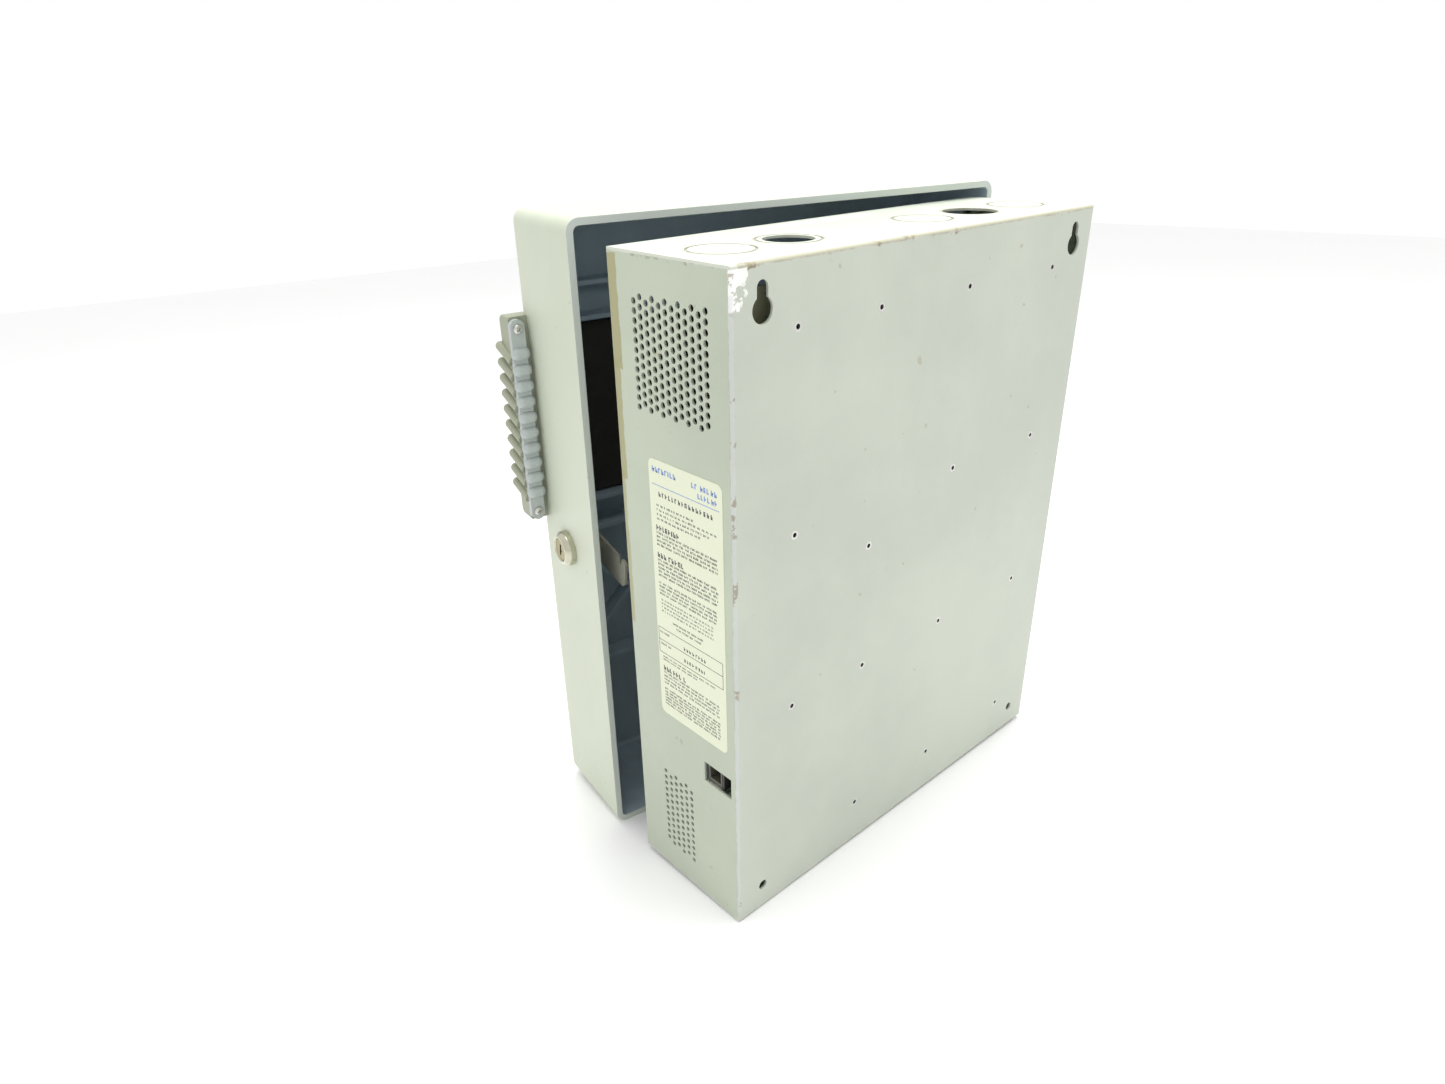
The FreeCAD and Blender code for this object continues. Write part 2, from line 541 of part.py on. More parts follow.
def terminals():
    for side, sign in (("left", 1), ("right", -1)):
        x = "(%s*strip_column)" % sign
        bodies, wells, screws = [], [], []
        for z in STRIP_ROWS:
            low = "%s - %s*way_pitch/2" % (z, WAYS)
            high = "%s + %s*way_pitch/2" % (z, WAYS)
            bodies.append(block(x + " - terminal_half_width", x + " + terminal_half_width",
                                BOARD_FRONT + " - terminal_depth", BOARD_FRONT, low, high))
            for way in range(WAYS):
                centre = "%s + %s*way_pitch" % (low, way + 0.5)
                wells.append(rod("y", BOARD_FRONT + " - terminal_depth - 1", BOARD_FRONT + " - well_floor",
                                 x, centre, "well_radius"))
                edge = "%s + %s*(terminal_half_width - wire_mouth/2 + 1)" % (x, sign)
                wells.append(block(edge + " - wire_mouth/2", edge + " + wire_mouth/2",
                                   BOARD_FRONT + " - well_floor - 1", BOARD_FRONT + " - 2.5",
                                   centre + " - wire_mouth/2", centre + " + wire_mouth/2"))
                head = BOARD_FRONT + " - well_floor - terminal_screw_height"
                slot = block(x + " - 4", x + " + 4", head + " - 0.4", head + " + 0.8",
                             centre + " - 0.5", centre + " + 0.5")
                screws.append(cut(rod("y", head, BOARD_FRONT + " - well_floor", x, centre,
                                      "terminal_screw_radius"), [slot]))
        finish(cut(group(bodies), wells), "terminal_strips_" + side)
        finish(group(screws), "terminal_screws_" + side)


def on_board(x, z, wide, tall, deep, gap="0"):
    """A block standing on the board's front face, centred on x and z."""
    return block("%s - (%s)/2" % (x, wide), "%s + (%s)/2" % (x, wide),
                 "%s - (%s) - (%s)" % (BOARD_FRONT, gap, deep), "%s - (%s)" % (BOARD_FRONT, gap),
                 "%s - (%s)/2" % (z, tall), "%s + (%s)/2" % (z, tall))


def power_supply():
    """Mains transformer in its clamp, fuses, heat sink, regulators and capacitors."""
    x, z = "transformer_x", "transformer_z"
    legs = (" - window_offset", " + window_offset")
    core = on_board(x, z, "core_width", "core_height", "core_depth", "clamp_sheet")
    windows = [on_board(x + leg, z, "window_width", "window_height", "core_depth + 1", "1") for leg in legs]
    finish(cut(core, windows), "transformer_core")
    tall = "window_height - 2*coil_slack"
    coil = [on_board(x, z, "coil_width", tall, "coil_reach - core_depth - clamp_sheet",
                     "core_depth + clamp_sheet")]
    coil += [on_board(x + leg, z, "window_width - 2*coil_slack", tall, "core_depth + 1",
                      "clamp_sheet + coil_slack") for leg in legs]
    finish(fuse(coil), "transformer_coil")
    foot = on_board(x, z, "core_width", "clamp_foot", "clamp_sheet")
    clamp = [on_board(x, z + side, "core_width", "clamp_sheet", "clamp_depth")
             for side in (" - (core_height + clamp_sheet)/2", " + (core_height + clamp_sheet)/2")]
    finish(fuse([foot] + clamp), "transformer_clamp")
    finish(group([hexagon("y", BOARD_FRONT + " - clamp_sheet - nut_height", "nut_height",
                          x + across, z + side, "nut_radius")
                  for side in (" - nut_rise", " + nut_rise")
                  for across in (" - nut_across", " + nut_across")]), "transformer_nuts")

    rows = ["(fuse_row %s)" % step for step in ("- fuse_pitch", "", "+ fuse_pitch")]
    axis = BOARD_FRONT + " - fuse_lift"
    holders = [on_board("(fuse_x %s clip_spread)" % side, z, "clip_width", "clip_height", "clip_depth")
               for z in rows for side in "-+"]
    fuses = [rod("x", "fuse_x - fuse_length/2", "fuse_x + fuse_length/2", axis, z, "fuse_radius")
             for z in rows]
    seats = [rod("x", "fuse_x - fuse_length/2 - 1", "fuse_x + fuse_length/2 + 1", axis, z, "fuse_radius")
             for z in rows]
    finish(cut(group(holders), seats), "fuse_clips")
    finish(group(fuses), "fuses")

    plate = on_board("sink_x", "sink_z", "sink_width", "sink_height", "sink_plate", "sink_lift")
    left = "sink_x - sink_width/2"
    fins = [block("%s + %s*fin_pitch" % (left, i), "%s + %s*fin_pitch + fin_thickness" % (left, i),
                  BOARD_FRONT + " - sink_depth", BOARD_FRONT + " - sink_lift - sink_plate + 0.1",
                  "sink_z - sink_height/2", "sink_z + sink_height/2") for i in range(10)]
    feet = [on_board("(sink_x %s (sink_width/2 - %s))" % (sign, inset), "sink_z", "sink_foot", "sink_height",
                     "sink_lift + 1") for sign, inset in (("-", "3"), ("+", "3"))]
    finish(fuse([plate] + fins + feet), "heat_sink")
    finish(group([on_board("(sink_x + %s*regulator_pitch)" % i, "regulator_z", "regulator_width",
                           "regulator_height", "regulator_depth", "regulator_lift") for i in (-1, 0, 1)]),
           "regulators")
    finish(group([rod("y", BOARD_FRONT + " - capacitor_depth", BOARD_FRONT,
                      "(capacitor_x + %s*capacitor_pitch)" % i, "capacitor_z", "capacitor_radius")
                  for i in (-1, 0, 1)]), "capacitors")


# socketed chips: the place of each one's middle, and its socket's size
CHIPS = [("20", "118", "15", "52"), ("-10", "118", "15", "52"), ("50", "118", "15", "52"),
         ("-40", "122", "9", "26"), ("-40", "88", "9", "26"), ("80", "122", "9", "26")]
DRIVER_ROWS = ["20", "-10"]


def logic():
    """Relays, socketed chips, bus header, status lamps and the cell."""
    finish(group([on_board("relay_x", "(relay_first + %s*relay_pitch)" % i, "relay_width", "relay_height",
                           "relay_depth", "relay_lift") for i in range(6)]), "output_relays")
    finish(group([on_board(x, z, wide, tall, "socket_depth") for x, z, wide, tall in CHIPS]), "chip_sockets")
    finish(group([on_board(x, z, "%s - 1.5" % wide, "%s - 1" % tall, "chip_depth", "socket_depth")
                  for x, z, wide, tall in CHIPS]), "logic_chips")
    finish(group([on_board("(driver_first + %s*driver_pitch)" % i, z, "driver_width", "driver_height",
                           "driver_depth", "driver_lift") for i in range(6) for z in DRIVER_ROWS]),
           "driver_chips")
    header = on_board("header_x", "header_z", "header_width", "header_height", "header_depth")
    slot = on_board("header_x", "header_z", "header_width - 2*header_wall",
                    "header_height - 1.8*header_wall", "header_depth", "header_wall")
    finish(cut(header, [slot]), "expansion_header")
    finish(group([rod("y", BOARD_FRONT + " - header_depth + 1.5", BOARD_FRONT + " - header_wall",
                      "header_x + (%s)*pin_spread" % (i / 12 - 0.5), "header_z %s pin_row" % side,
                      "pin_half")
                  for i in range(13) for side in "-+"]), "header_pins")
    lamps = []
    for i in range(8):
        z = "lamp_first + %s*lamp_pitch" % i
        lamps.append(fuse([rod("y", BOARD_FRONT + " - lamp_height", BOARD_FRONT, "lamp_x", z, "lamp_radius"),
                           rod("y", BOARD_FRONT + " - 1", BOARD_FRONT, "lamp_x", z, "lamp_radius + 0.4")]))
    finish(group(lamps), "status_lamps")
    base = BOARD_FRONT + " - cell_lift"
    cell = rod("y", base + " - cell_thickness", base, "cell_x", "cell_z", "cell_radius")
    finish(group([cell]), "backup_cell")
    cup = rod("y", BOARD_FRONT + " - holder_depth", BOARD_FRONT, "cell_x", "cell_z",
              "cell_radius + holder_wall")
    well = rod("y", BOARD_FRONT + " - holder_depth - 1", base, "cell_x", "cell_z", "cell_radius")
    finish(cut(cup, [well]), "cell_holder")


def service_jack():
    """The modular jack behind the port in the lock-side panel."""
    z = "port_rise - box_height/2"
    floor, roof = z + " - port_height/2", z + " + port_height/2"
    front, rear = "-port_rear - port_width + jack_wall", BOARD_FRONT
    housing = block("box_width/2 - gauge - jack_length", PANEL_INSIDE + " - jack_gap", front, rear,
                    floor + " + jack_clearance", roof + " - jack_clearance")
    mouth = block("box_width/2 - gauge - jack_mouth", BOX_RIGHT, front + " + jack_wall", rear + " - 1.4",
                  floor + " + jack_clearance + jack_floor", roof + " - jack_clearance - jack_roof")
    finish(cut(housing, [mouth]), "service_jack")
    carrier = block("box_width/2 - gauge - board_margin", PANEL_INSIDE + " - jack_clearance", BOARD_FRONT,
                    BOARD_BACK, floor, roof)
    finish(group([carrier]), "jack_carrier")
    ceiling = roof + " - jack_clearance - jack_roof"
    rear_end = "box_width/2 - gauge - jack_mouth + 0.1"
    finish(group([block(rear_end, rear_end + " + contact_length",
                        "%s + jack_wall + 1 + %s*contact_pitch" % (front, i),
                        "%s + jack_wall + 1 + %s*contact_pitch + contact_width" % (front, i),
                        ceiling + " - contact_height", ceiling) for i in range(6)]), "jack_contacts")


def earth_stud():
    """Earth stud in the bottom flange with its nut and washer."""
    x, y = "box_width/2 - gauge - stud_inset", "stud_setback - box_depth"
    floor = "gauge - box_height/2"
    finish(group([rod("z", floor, floor + " + stud_height", x, y, "stud_radius")]), "earth_stud")
    bores = [rod("z", floor, floor + " + stud_height + 1", x, y, "stud_radius") for _ in range(2)]
    finish(cut(rod("z", floor, floor + " + washer_thickness", x, y, "washer_radius"), bores[:1]),
           "earth_washer")
    finish(cut(hexagon("z", floor + " + washer_thickness", "stud_nut_height", x, y, "stud_nut_radius"),
               bores[1:]), "earth_nut")


def latch_strike():
    """Welded bracket in the box that the lock's hook catches from below."""
    rear = "-box_depth + cover_lap - lock_setback + hook_reach + gauge/2"
    low = "lock_height + strike_drop"
    base = block(PANEL_INSIDE + " - gauge", PANEL_INSIDE, rear + " - gauge", rear + " + 16",
                 low, low + " + strike_height")
    tab = block(PANEL_INSIDE + " - strike_reach", PANEL_INSIDE + " - gauge/2", rear + " - gauge", rear,
                low, low + " + strike_height")
    finish(fuse([base, tab]), "latch_strike")


# ---------------------------------------------------------------- hinges
HINGE_CENTRES = ["hinge_spread", "-hinge_spread"]
SCREW_STATIONS = [" - 20", "", " + 20"]


def hinges():
    """Box leaves with the outer knuckles, straps with the middle knuckle, and pins."""
    leaves, leaf_bores, rivets, pins, straps, strap_bores, screws = [], [], [], [], [], [], []
    for centre in HINGE_CENTRES:
        low, high = centre + " - hinge_length/2", centre + " + hinge_length/2"
        middle_low = centre + " - hinge_middle/2"
        middle_high = centre + " + hinge_middle/2"
        plate = block("-box_width/2 - leaf_thickness", "-box_width/2",
                      HINGE_Y, HINGE_Y + " + leaf_reach", low, high)
        relief = rod("z", middle_low + " - knuckle_gap", middle_high + " + knuckle_gap", HINGE_X, HINGE_Y,
                     "knuckle_radius + knuckle_gap")
        outer = [rod("z", low, middle_low + " - knuckle_gap", HINGE_X, HINGE_Y, "knuckle_radius"),
                 rod("z", middle_high + " + knuckle_gap", high, HINGE_X, HINGE_Y, "knuckle_radius")]
        leaves.append(fuse([cut(plate, [relief])] + outer))
        leaf_bores.append(rod("z", low + " - 1", high + " + 1", HINGE_X, HINGE_Y, "pin_radius"))
        pins.append(fuse([rod("z", low, high, HINGE_X, HINGE_Y, "pin_radius"),
                          rod("z", high, high + " + pin_head_height", HINGE_X, HINGE_Y,
                              "pin_radius + pin_head_rim")]))
        inner, outer_face = "knuckle_radius - strap_thickness - strap_sink", "knuckle_radius - strap_sink"
        strap = block(inner, outer_face, COVER_RIM + " - strap_reach",
                      "-knuckle_radius - 2*knuckle_gap", low, high)
        neck = block(inner, outer_face, "-knuckle_radius - 2*knuckle_gap - neck_overlap", "0",
                     middle_low, middle_high)
        straps.append(fuse([strap, neck, rod("z", middle_low, middle_high, "0", "0", "knuckle_radius")]))
        strap_bores.append(rod("z", low, high, "0", "0", "pin_radius + pin_clearance"))
        for station in SCREW_STATIONS:
            z = centre + station
            rivets.append(dome("x", "-box_width/2 - leaf_thickness - rivet_height", "rivet_height",
                               HINGE_Y + " + rivet_station", z, "rivet_tip", "rivet_rim"))
            y = COVER_RIM + " - strap_screw_station"
            strap_bores.append(rod("x", "0", "knuckle_radius + 1", y, z, "strap_screw_radius"))
            shank = rod("x", "hinge_out - side_gap - strap_screw_bite", outer_face, y, z,
                        "strap_screw_radius")
            screws.append(fuse([shank, dome("x", outer_face, "strap_screw_rise", y, z,
                                            "strap_screw_rim", "strap_screw_tip")]))
    finish(cut(group(leaves), leaf_bores), "hinge_box_leaves")
    finish(group(rivets), "hinge_rivets")
    finish(group(pins), "hinge_pins")
    finish(cut(group(straps), strap_bores), "hinge_cover_straps", AJAR)
    finish(group(screws), "hinge_strap_screws", AJAR)


# ---------------------------------------------------------------- cover
def case_block(name, inset, back):
    """The cover's outline pulled in by inset, from its rim to the front wall."""
    body = new_body(name)
    face = sketch_on(body, "XZ_Plane", name + "_face", "-(%s)" % back)
    rectangle(face, COVER_LEFT + " + " + inset, COVER_RIGHT + " - " + inset,
              COVER_BOTTOM + " + " + inset, COVER_TOP + " - " + inset)
    pad(body, face, "(%s) - (%s) - (%s)" % (back, COVER_FRONT, inset))
    round_edges(body, "cover_corner - " + inset, lambda e: runs_along(e, "y"))
    front = value(COVER_FRONT) + value(inset)
    round_edges(body, "cover_front_round - " + inset,
                lambda e: near(e.BoundBox.YMin, front) and near(e.BoundBox.YMax, front))
    return body


RIB_ROWS = ["-111", "-3", "19", "144", "166"]
RIB_COLUMNS = ["(%s + %s*(%s - %s))" % (COVER_LEFT, share, COVER_RIGHT, COVER_LEFT)
               for share in ("1/3", "2/3")]
PANEL_BOSSES = [(x, z) for x in ("hinge_out + 20", "hinge_out + box_width/2", "hinge_out + box_width - 20")
                for z in ("30", "132")]
WALL_FRONT = "(%s + cover_wall)" % COVER_FRONT
GRIP_SCREW_ROWS = ["(grip_top - grip_screw_z)", "(grip_top - grip_length + grip_screw_z)"]
GRIP_SCREW_Y = "(%s + grip_screw_setback)" % COVER_FRONT
CAVITY_LEFT = "(%s + cover_wall - 1)" % COVER_LEFT
CAVITY_RIGHT = "(%s - cover_wall + 1)" % COVER_RIGHT


def brace(x_low, z_low, x_high, z_high):
    """A straight rib on the front wall's inner face, from corner to corner."""
    run = value(x_high) - value(x_low)
    rise = value(z_high) - value(z_low)
    rib = doc.addObject("Part::Box", "brace")
    rib.Length = math.hypot(run, rise)
    bind(rib, "Width", "rib_height - 3")
    bind(rib, "Height", "rib_thickness")
    slope = FreeCAD.Rotation(FreeCAD.Vector(0, 1, 0), -math.degrees(math.atan2(rise, run)))
    lower_left = FreeCAD.Vector(value(x_low), value(WALL_FRONT), value(z_low))
    rib.Placement = FreeCAD.Placement(
        lower_left - slope.multVec(FreeCAD.Vector(0, 0, value("rib_thickness/2"))), slope)
    return rib


def cover_shell():
    """The moulded cover with its stiffening ribs and screw bosses."""
    shell = cut(case_block("cover_outside", "0", COVER_RIM),
                [case_block("cover_inside", "cover_wall", COVER_RIM + " + 5")])
    ribs = [block(CAVITY_LEFT, CAVITY_RIGHT, WALL_FRONT + " - 1", WALL_FRONT + " + rib_height",
                  z, z + " + rib_thickness") for z in RIB_ROWS]
    ribs += [block(x, x + " + rib_thickness", WALL_FRONT + " - 1", WALL_FRONT + " + rib_height - 3",
                   RIB_ROWS[0], RIB_ROWS[1] + " + rib_thickness") for x in RIB_COLUMNS]
    cells = [CAVITY_LEFT] + RIB_COLUMNS + [CAVITY_RIGHT]
    for left, right in zip(cells, cells[1:]):
        ribs.append(brace(left, RIB_ROWS[0], right, RIB_ROWS[1]))
        ribs.append(brace(left, RIB_ROWS[1], right, RIB_ROWS[0]))
    bosses = [rod("y", WALL_FRONT + " - 1", WALL_FRONT + " + boss_height", x, z, "boss_radius")
              for x, z in PANEL_BOSSES]
    holes = [rod("x", COVER_RIGHT + " - cover_wall - 2", COVER_RIGHT + " + 2", LOCK_Y, "lock_height",
                 "barrel_radius + 0.1")]
    holes += [rod("y", WALL_FRONT, WALL_FRONT + " + boss_height + 2", x, z, "panel_screw_radius")
              for x, z in PANEL_BOSSES]
    for centre in HINGE_CENTRES:
        for station in SCREW_STATIONS:
            holes.append(rod("x", "hinge_out - side_gap - 2.5", "knuckle_radius", COVER_RIM + " - 18",
                             centre + station, "1.6"))
    inside = COVER_RIGHT + " - cover_wall"
    for z in GRIP_SCREW_ROWS:
        holes.append(rod("x", inside + " - 2", COVER_RIGHT + " + 2", GRIP_SCREW_Y, z, "grip_screw_radius"))
        holes.append(rod("x", inside + " - 2", inside, GRIP_SCREW_Y, z, "grip_screw_head + 0.1"))
    return finish(cut(fuse([shell] + ribs + bosses), holes), "cover_shell", AJAR)


def inner_panel():
    """The black plate screwed to bosses behind the cover's front wall."""
    rear = WALL_FRONT + " + boss_height"
    plate = block("hinge_out + panel_margin", "hinge_out + box_width - panel_margin",
                  rear, rear + " + panel_thickness", "panel_bottom", "panel_top")
    holes = [rod("y", rear + " - 1", rear + " + panel_thickness + 1", x, z, "panel_screw_radius")
             for x, z in PANEL_BOSSES]
    finish(cut(plate, holes), "inner_panel", AJAR)
    finish(group([fuse([rod("y", WALL_FRONT + " + 0.5", rear + " + panel_thickness + panel_screw_play", x, z,
                            "panel_screw_radius"),
                        dome("y", rear + " + panel_thickness", "panel_screw_rise", x, z,
                             "panel_screw_rim", "panel_screw_tip")]) for x, z in PANEL_BOSSES]),
           "inner_panel_screws", AJAR)


def capsule(low, high, radius):
    """A round bar between two points, with a ball at its high end."""
    start = FreeCAD.Vector(*[value(formula) for formula in low])
    reach = FreeCAD.Vector(*[value(formula) for formula in high]) - start
    bar = doc.addObject("Part::Cylinder", "bar")
    bind(bar, "Radius", radius)
    bar.Height = reach.Length
    bar.Placement = FreeCAD.Placement(start, FreeCAD.Rotation(FreeCAD.Vector(0, 0, 1), reach))
    ball = doc.addObject("Part::Sphere", "ball")
    bind(ball, "Radius", radius)
    for axis, formula in zip("xyz", high):
        bind(ball, "Placement.Base." + axis, formula)
    return [bar, ball]


def grip():
    """The ribbed finger grip: a front block, a beaded rear strip and their screws."""
    face = COVER_FRONT + " + grip_behind"
    bottom = "(grip_top - grip_length)"
    blank = new_body("grip_blank")
    side = sketch_on(blank, "YZ_Plane", "grip_side", COVER_RIGHT + " - grip_wrap")
    rectangle(side, COVER_FRONT + " - grip_ahead", face, bottom, "grip_top")
    pad(blank, side, "grip_wrap + grip_out")
    front = value(COVER_FRONT + " - grip_ahead")
    round_edges(blank, "grip_ahead - 1.5", lambda e: runs_along(e, "x") and near(e.BoundBox.YMin, front))
    outer = value(COVER_RIGHT + " + grip_out")
    round_edges(blank, "grip_ahead/4", lambda e: near(e.BoundBox.XMin, outer)
                and near(e.BoundBox.XMax, outer) and e.BoundBox.YMin < value(face) - 1)
    ribs = []
    for i in range(10):
        z = "grip_top - bead_first - %s*bead_pitch" % i
        ribs += capsule((COVER_RIGHT + " + grip_out - bar_bulge", face + " - 0.5", z + " - bar_rear_drop"),
                        (COVER_RIGHT + " + grip_out + bar_bulge", COVER_FRONT + " - grip_ahead - 0.1",
                         z + " + bar_front_rise"), "bar_radius")
    holes = [case_block("grip_seat", "0", COVER_RIM)]
    beyond = block(COVER_RIGHT + " - 1", COVER_RIGHT + " + 30", face, face + " + 10",
                   bottom + " - 10", "grip_top + 10")
    holes += [rod("x", COVER_RIGHT + " - 1", COVER_RIGHT + " + grip_screw_bite", GRIP_SCREW_Y, z,
                  "grip_screw_radius")
              for z in GRIP_SCREW_ROWS]
    middle = COVER_RIGHT + " + grip_out - strip_screw_x"
    holes += [rod("y", face + " - strip_screw_bite", face + " + 1", middle, z, "strip_screw_radius")
              for z in STRIP_SCREW_ROWS]
    seated = cut(cut(fuse([blank] + ribs), [beyond]), [fuse(holes)])
    finish(seated, "grip_front_block", AJAR)

    strip = new_body("grip_strip_blank")
    back = face + " + strip_gap"
    outline_of_strip = sketch_on(strip, "XZ_Plane", "strip_face", "-(%s + strip_thickness)" % back)
    rectangle(outline_of_strip, COVER_RIGHT + " + grip_out - strip_inboard",
              COVER_RIGHT + " + grip_out + strip_outboard",
              bottom + " + 1", "grip_top - 1")
    pad(strip, outline_of_strip, "strip_thickness")
    round_edges(strip, "strip_end_radius", lambda e: runs_along(e, "y"))
    beads = []
    for i in range(10):
        z = "grip_top - bead_first - %s*bead_pitch" % i
        right = COVER_RIGHT + " + grip_out - bead_inset"
        left = right + " - bead_length"
        line = back + " + strip_thickness - bead_sink"
        beads += capsule((left, line, z), (right, line, z), "bead_radius")
        beads += capsule((right, line, z), (left, line, z), "bead_radius")[1:]
    seats = [rod("y", face, back + " + 0.5", middle, z, "strip_seat_radius") for z in STRIP_SCREW_ROWS]
    holes = [rod("y", face + " - 1", back + " + strip_thickness + 4", middle, z, "strip_screw_radius")
             for z in STRIP_SCREW_ROWS]
    ahead = block(COVER_RIGHT + " - 1", COVER_RIGHT + " + 30", face + " - 10", face, bottom, "grip_top")
    finish(cut(fuse([strip] + beads + seats), holes + [ahead]), "grip_rear_strip", AJAR)
    finish(group([fuse([rod("y", face + " - strip_screw_bite", back + " + strip_thickness + 0.2", middle, z,
                            "strip_screw_radius"),
                        dome("y", back + " + strip_thickness", "strip_screw_rise", middle, z,
                             "strip_screw_rim", "strip_screw_tip")])
                  for z in STRIP_SCREW_ROWS]), "grip_strip_screws", AJAR)
    inside = COVER_RIGHT + " - cover_wall"
    finish(group([fuse([rod("x", inside + " - 0.2", COVER_RIGHT + " + grip_screw_bite", GRIP_SCREW_Y, z,
                            "grip_screw_radius"),
                        dome("x", inside + " - grip_screw_rise", "grip_screw_rise", GRIP_SCREW_Y, z,
                             "grip_screw_radius", "grip_screw_head")])
                  for z in GRIP_SCREW_ROWS]), "grip_mounting_screws", AJAR)


STRIP_SCREW_ROWS = ["(grip_top - strip_screw_z)", "(grip_top - grip_length + strip_screw_z)"]


# ---------------------------------------------------------------- cam lock
# Drawn in the lock's own frame: +X outwards along the lock's axis, origin on
# the cover's outer face.  The hook points rearwards when the lock is fastened.
SHOULDER = "(-barrel_length - 1)"


def lock_barrel():
    """Bezel and threaded barrel, turned in one piece, and the nut behind the wall."""
    body = new_body("lock_barrel")
    profile = sketch_on(body, "XY_Plane", "barrel_profile")
    outline(profile, [
        ("-barrel_length", "plug_radius + plug_clearance"), ("-barrel_length", "barrel_radius"),
        ("0", "barrel_radius"), ("0", "bezel_radius"), ("bezel_height - bezel_bevel", "bezel_radius"),
        ("bezel_height", "bezel_radius - bezel_step"), ("bezel_height", "plug_radius + bezel_lip"),
        ("bezel_height - 1", "plug_radius + bezel_bore"),
        ("bezel_height - bezel_recess", "plug_radius + bezel_bore"),
        ("bezel_height - bezel_recess", "plug_radius + plug_clearance")])
    spin(body, profile)
    rim = value("bezel_height")
    knee = value("bezel_height - bezel_bevel")
    land = value("plug_radius + bezel_lip") + 0.2
    round_edges(body, "bezel_bevel/2", lambda e: (near(e.BoundBox.XMin, rim) and e.BoundBox.ZMax > land)
                or (near(e.BoundBox.XMin, knee) and near(e.BoundBox.XMax, knee)))
    finish(body, "lock_barrel", ON_LOCK_AXIS)
    bore = rod("x", "-cover_wall - lock_nut_height - 1", "-cover_wall + 1", "0", "0", "barrel_radius")
    nut = hexagon("x", "-cover_wall - lock_nut_height", "lock_nut_height", "0", "0",
                  "barrel_radius + lock_nut_margin")
    finish(cut(nut, [bore]), "lock_nut", ON_LOCK_AXIS)


def lock_plug():
    """The key plug with its keyway, and the square tail that drives the hook."""
    body = new_body("plug_blank")
    profile = sketch_on(body, "XY_Plane", "plug_profile")
    outline(profile, [
        (SHOULDER, "0"), (SHOULDER, "plug_radius"), ("bezel_height - bezel_recess + 0.1", "plug_radius"),
        ("bezel_height - bezel_recess + 0.1", "plug_radius + plug_flange"),
        ("bezel_height - plug_sink - 0.4", "plug_radius + plug_flange"),
        ("bezel_height - plug_sink", "plug_radius + plug_flange - 0.4"),
        ("bezel_height - plug_sink", "0")])
    spin(body, profile)
    tail = block(SHOULDER + " - cam_thickness", SHOULDER + " + 0.5",
                 "-tail_half", "tail_half", "-tail_half", "tail_half")
    keyway = block("bezel_height - keyway_depth", "bezel_height", "-1", "1", "-keyway_half", "keyway_half")
    ward = block("bezel_height - keyway_depth", "bezel_height", "-0.5", "1.9", "-1.2", "0.4")
    bore = rod("x", SHOULDER + " - cam_thickness - 1", SHOULDER + " + cam_screw_bite", "0", "0",
               "cam_screw_radius")
    finish(cut(fuse([body, tail]), [fuse([keyway, ward]), bore]), "lock_plug", DROOPED)
    screw = fuse([rod("x", SHOULDER + " - cam_thickness - 0.2", SHOULDER + " + cam_screw_bite", "0", "0",
                      "cam_screw_radius"),
                  dome("x", SHOULDER + " - cam_thickness - cam_screw_rise", "cam_screw_rise", "0", "0",
                       "cam_screw_tip", "cam_screw_rim")])
    finish(group([screw]), "cam_screw", DROOPED)


def lock_cam():
    """The hook plate: it swings up so that its notch takes the strike."""
    body = new_body("lock_cam")
    shape = sketch_on(body, "YZ_Plane", "hook_outline", SHOULDER + " - cam_thickness")
    notch_front = "hook_reach - gauge/2 - hook_clearance"
    notch_rear = "hook_reach + gauge/2 + hook_clearance"
    top = "cam_half_width"
    outline(shape, [
        ("-cam_half_width", "-cam_half_width"), ("cam_reach - hook_chamfer", "-cam_half_width"),
        ("cam_reach", "hook_chamfer - cam_half_width"),
        ("cam_reach", top + " - notch_chamfer"), ("cam_reach - notch_chamfer", top), (notch_rear, top),
        (notch_rear, top + " - hook_depth"), (notch_front, top + " - hook_depth"), (notch_front, top),
        ("-cam_half_width", top)])
    pad(body, shape, "cam_thickness")
    round_edges(body, "cam_half_width - 1", lambda e: runs_along(e, "x") and e.BoundBox.YMin < 0)
    square = sketch_on(body, "YZ_Plane", "square_hole", SHOULDER)
    rectangle(square, "-tail_half", "tail_half", "-tail_half", "tail_half")
    pocket(body, square, "2*cam_thickness")
    finish(body, "lock_cam", DROOPED)


# ---------------------------------------------------------------- build and write
def build():
    back_wrap()
    side_panel("side_panel_lock", PANEL_INSIDE, "(box_width/2 - gauge - front_return)", True)
    side_panel("side_panel_hinge", "(-box_width/2)", "(gauge - box_width/2)", False)
    labels()
    standoffs_and_board()
    terminals()
    power_supply()
    logic()
    service_jack()
    earth_stud()
    latch_strike()
    hinges()
    cover_shell()
    inner_panel()
    grip()
    lock_barrel()
    lock_plug()
    lock_cam()


def write():
    """Checks every object, then writes one STEP file for each sub-part."""
    doc.recompute()
    for obj in doc.Objects:
        if "Invalid" in obj.State or "Error" in obj.State:
            raise RuntimeError("%s failed: %s" % (obj.Name, obj.State))
    for obj in SOLIDS:
        if obj.Shape.isNull() or not obj.Shape.isValid() or not obj.Shape.Solids:
            raise RuntimeError("%s has no valid solid" % obj.Label)
    os.makedirs("parts", exist_ok=True)
    for obj in SOLIDS:
        obj.Shape.exportStep(os.path.join("parts", obj.Label + ".step"))
        print("%-26s %3d solids %10.1f mm3" % (obj.Label, len(obj.Shape.Solids), obj.Shape.Volume))


build()
write()
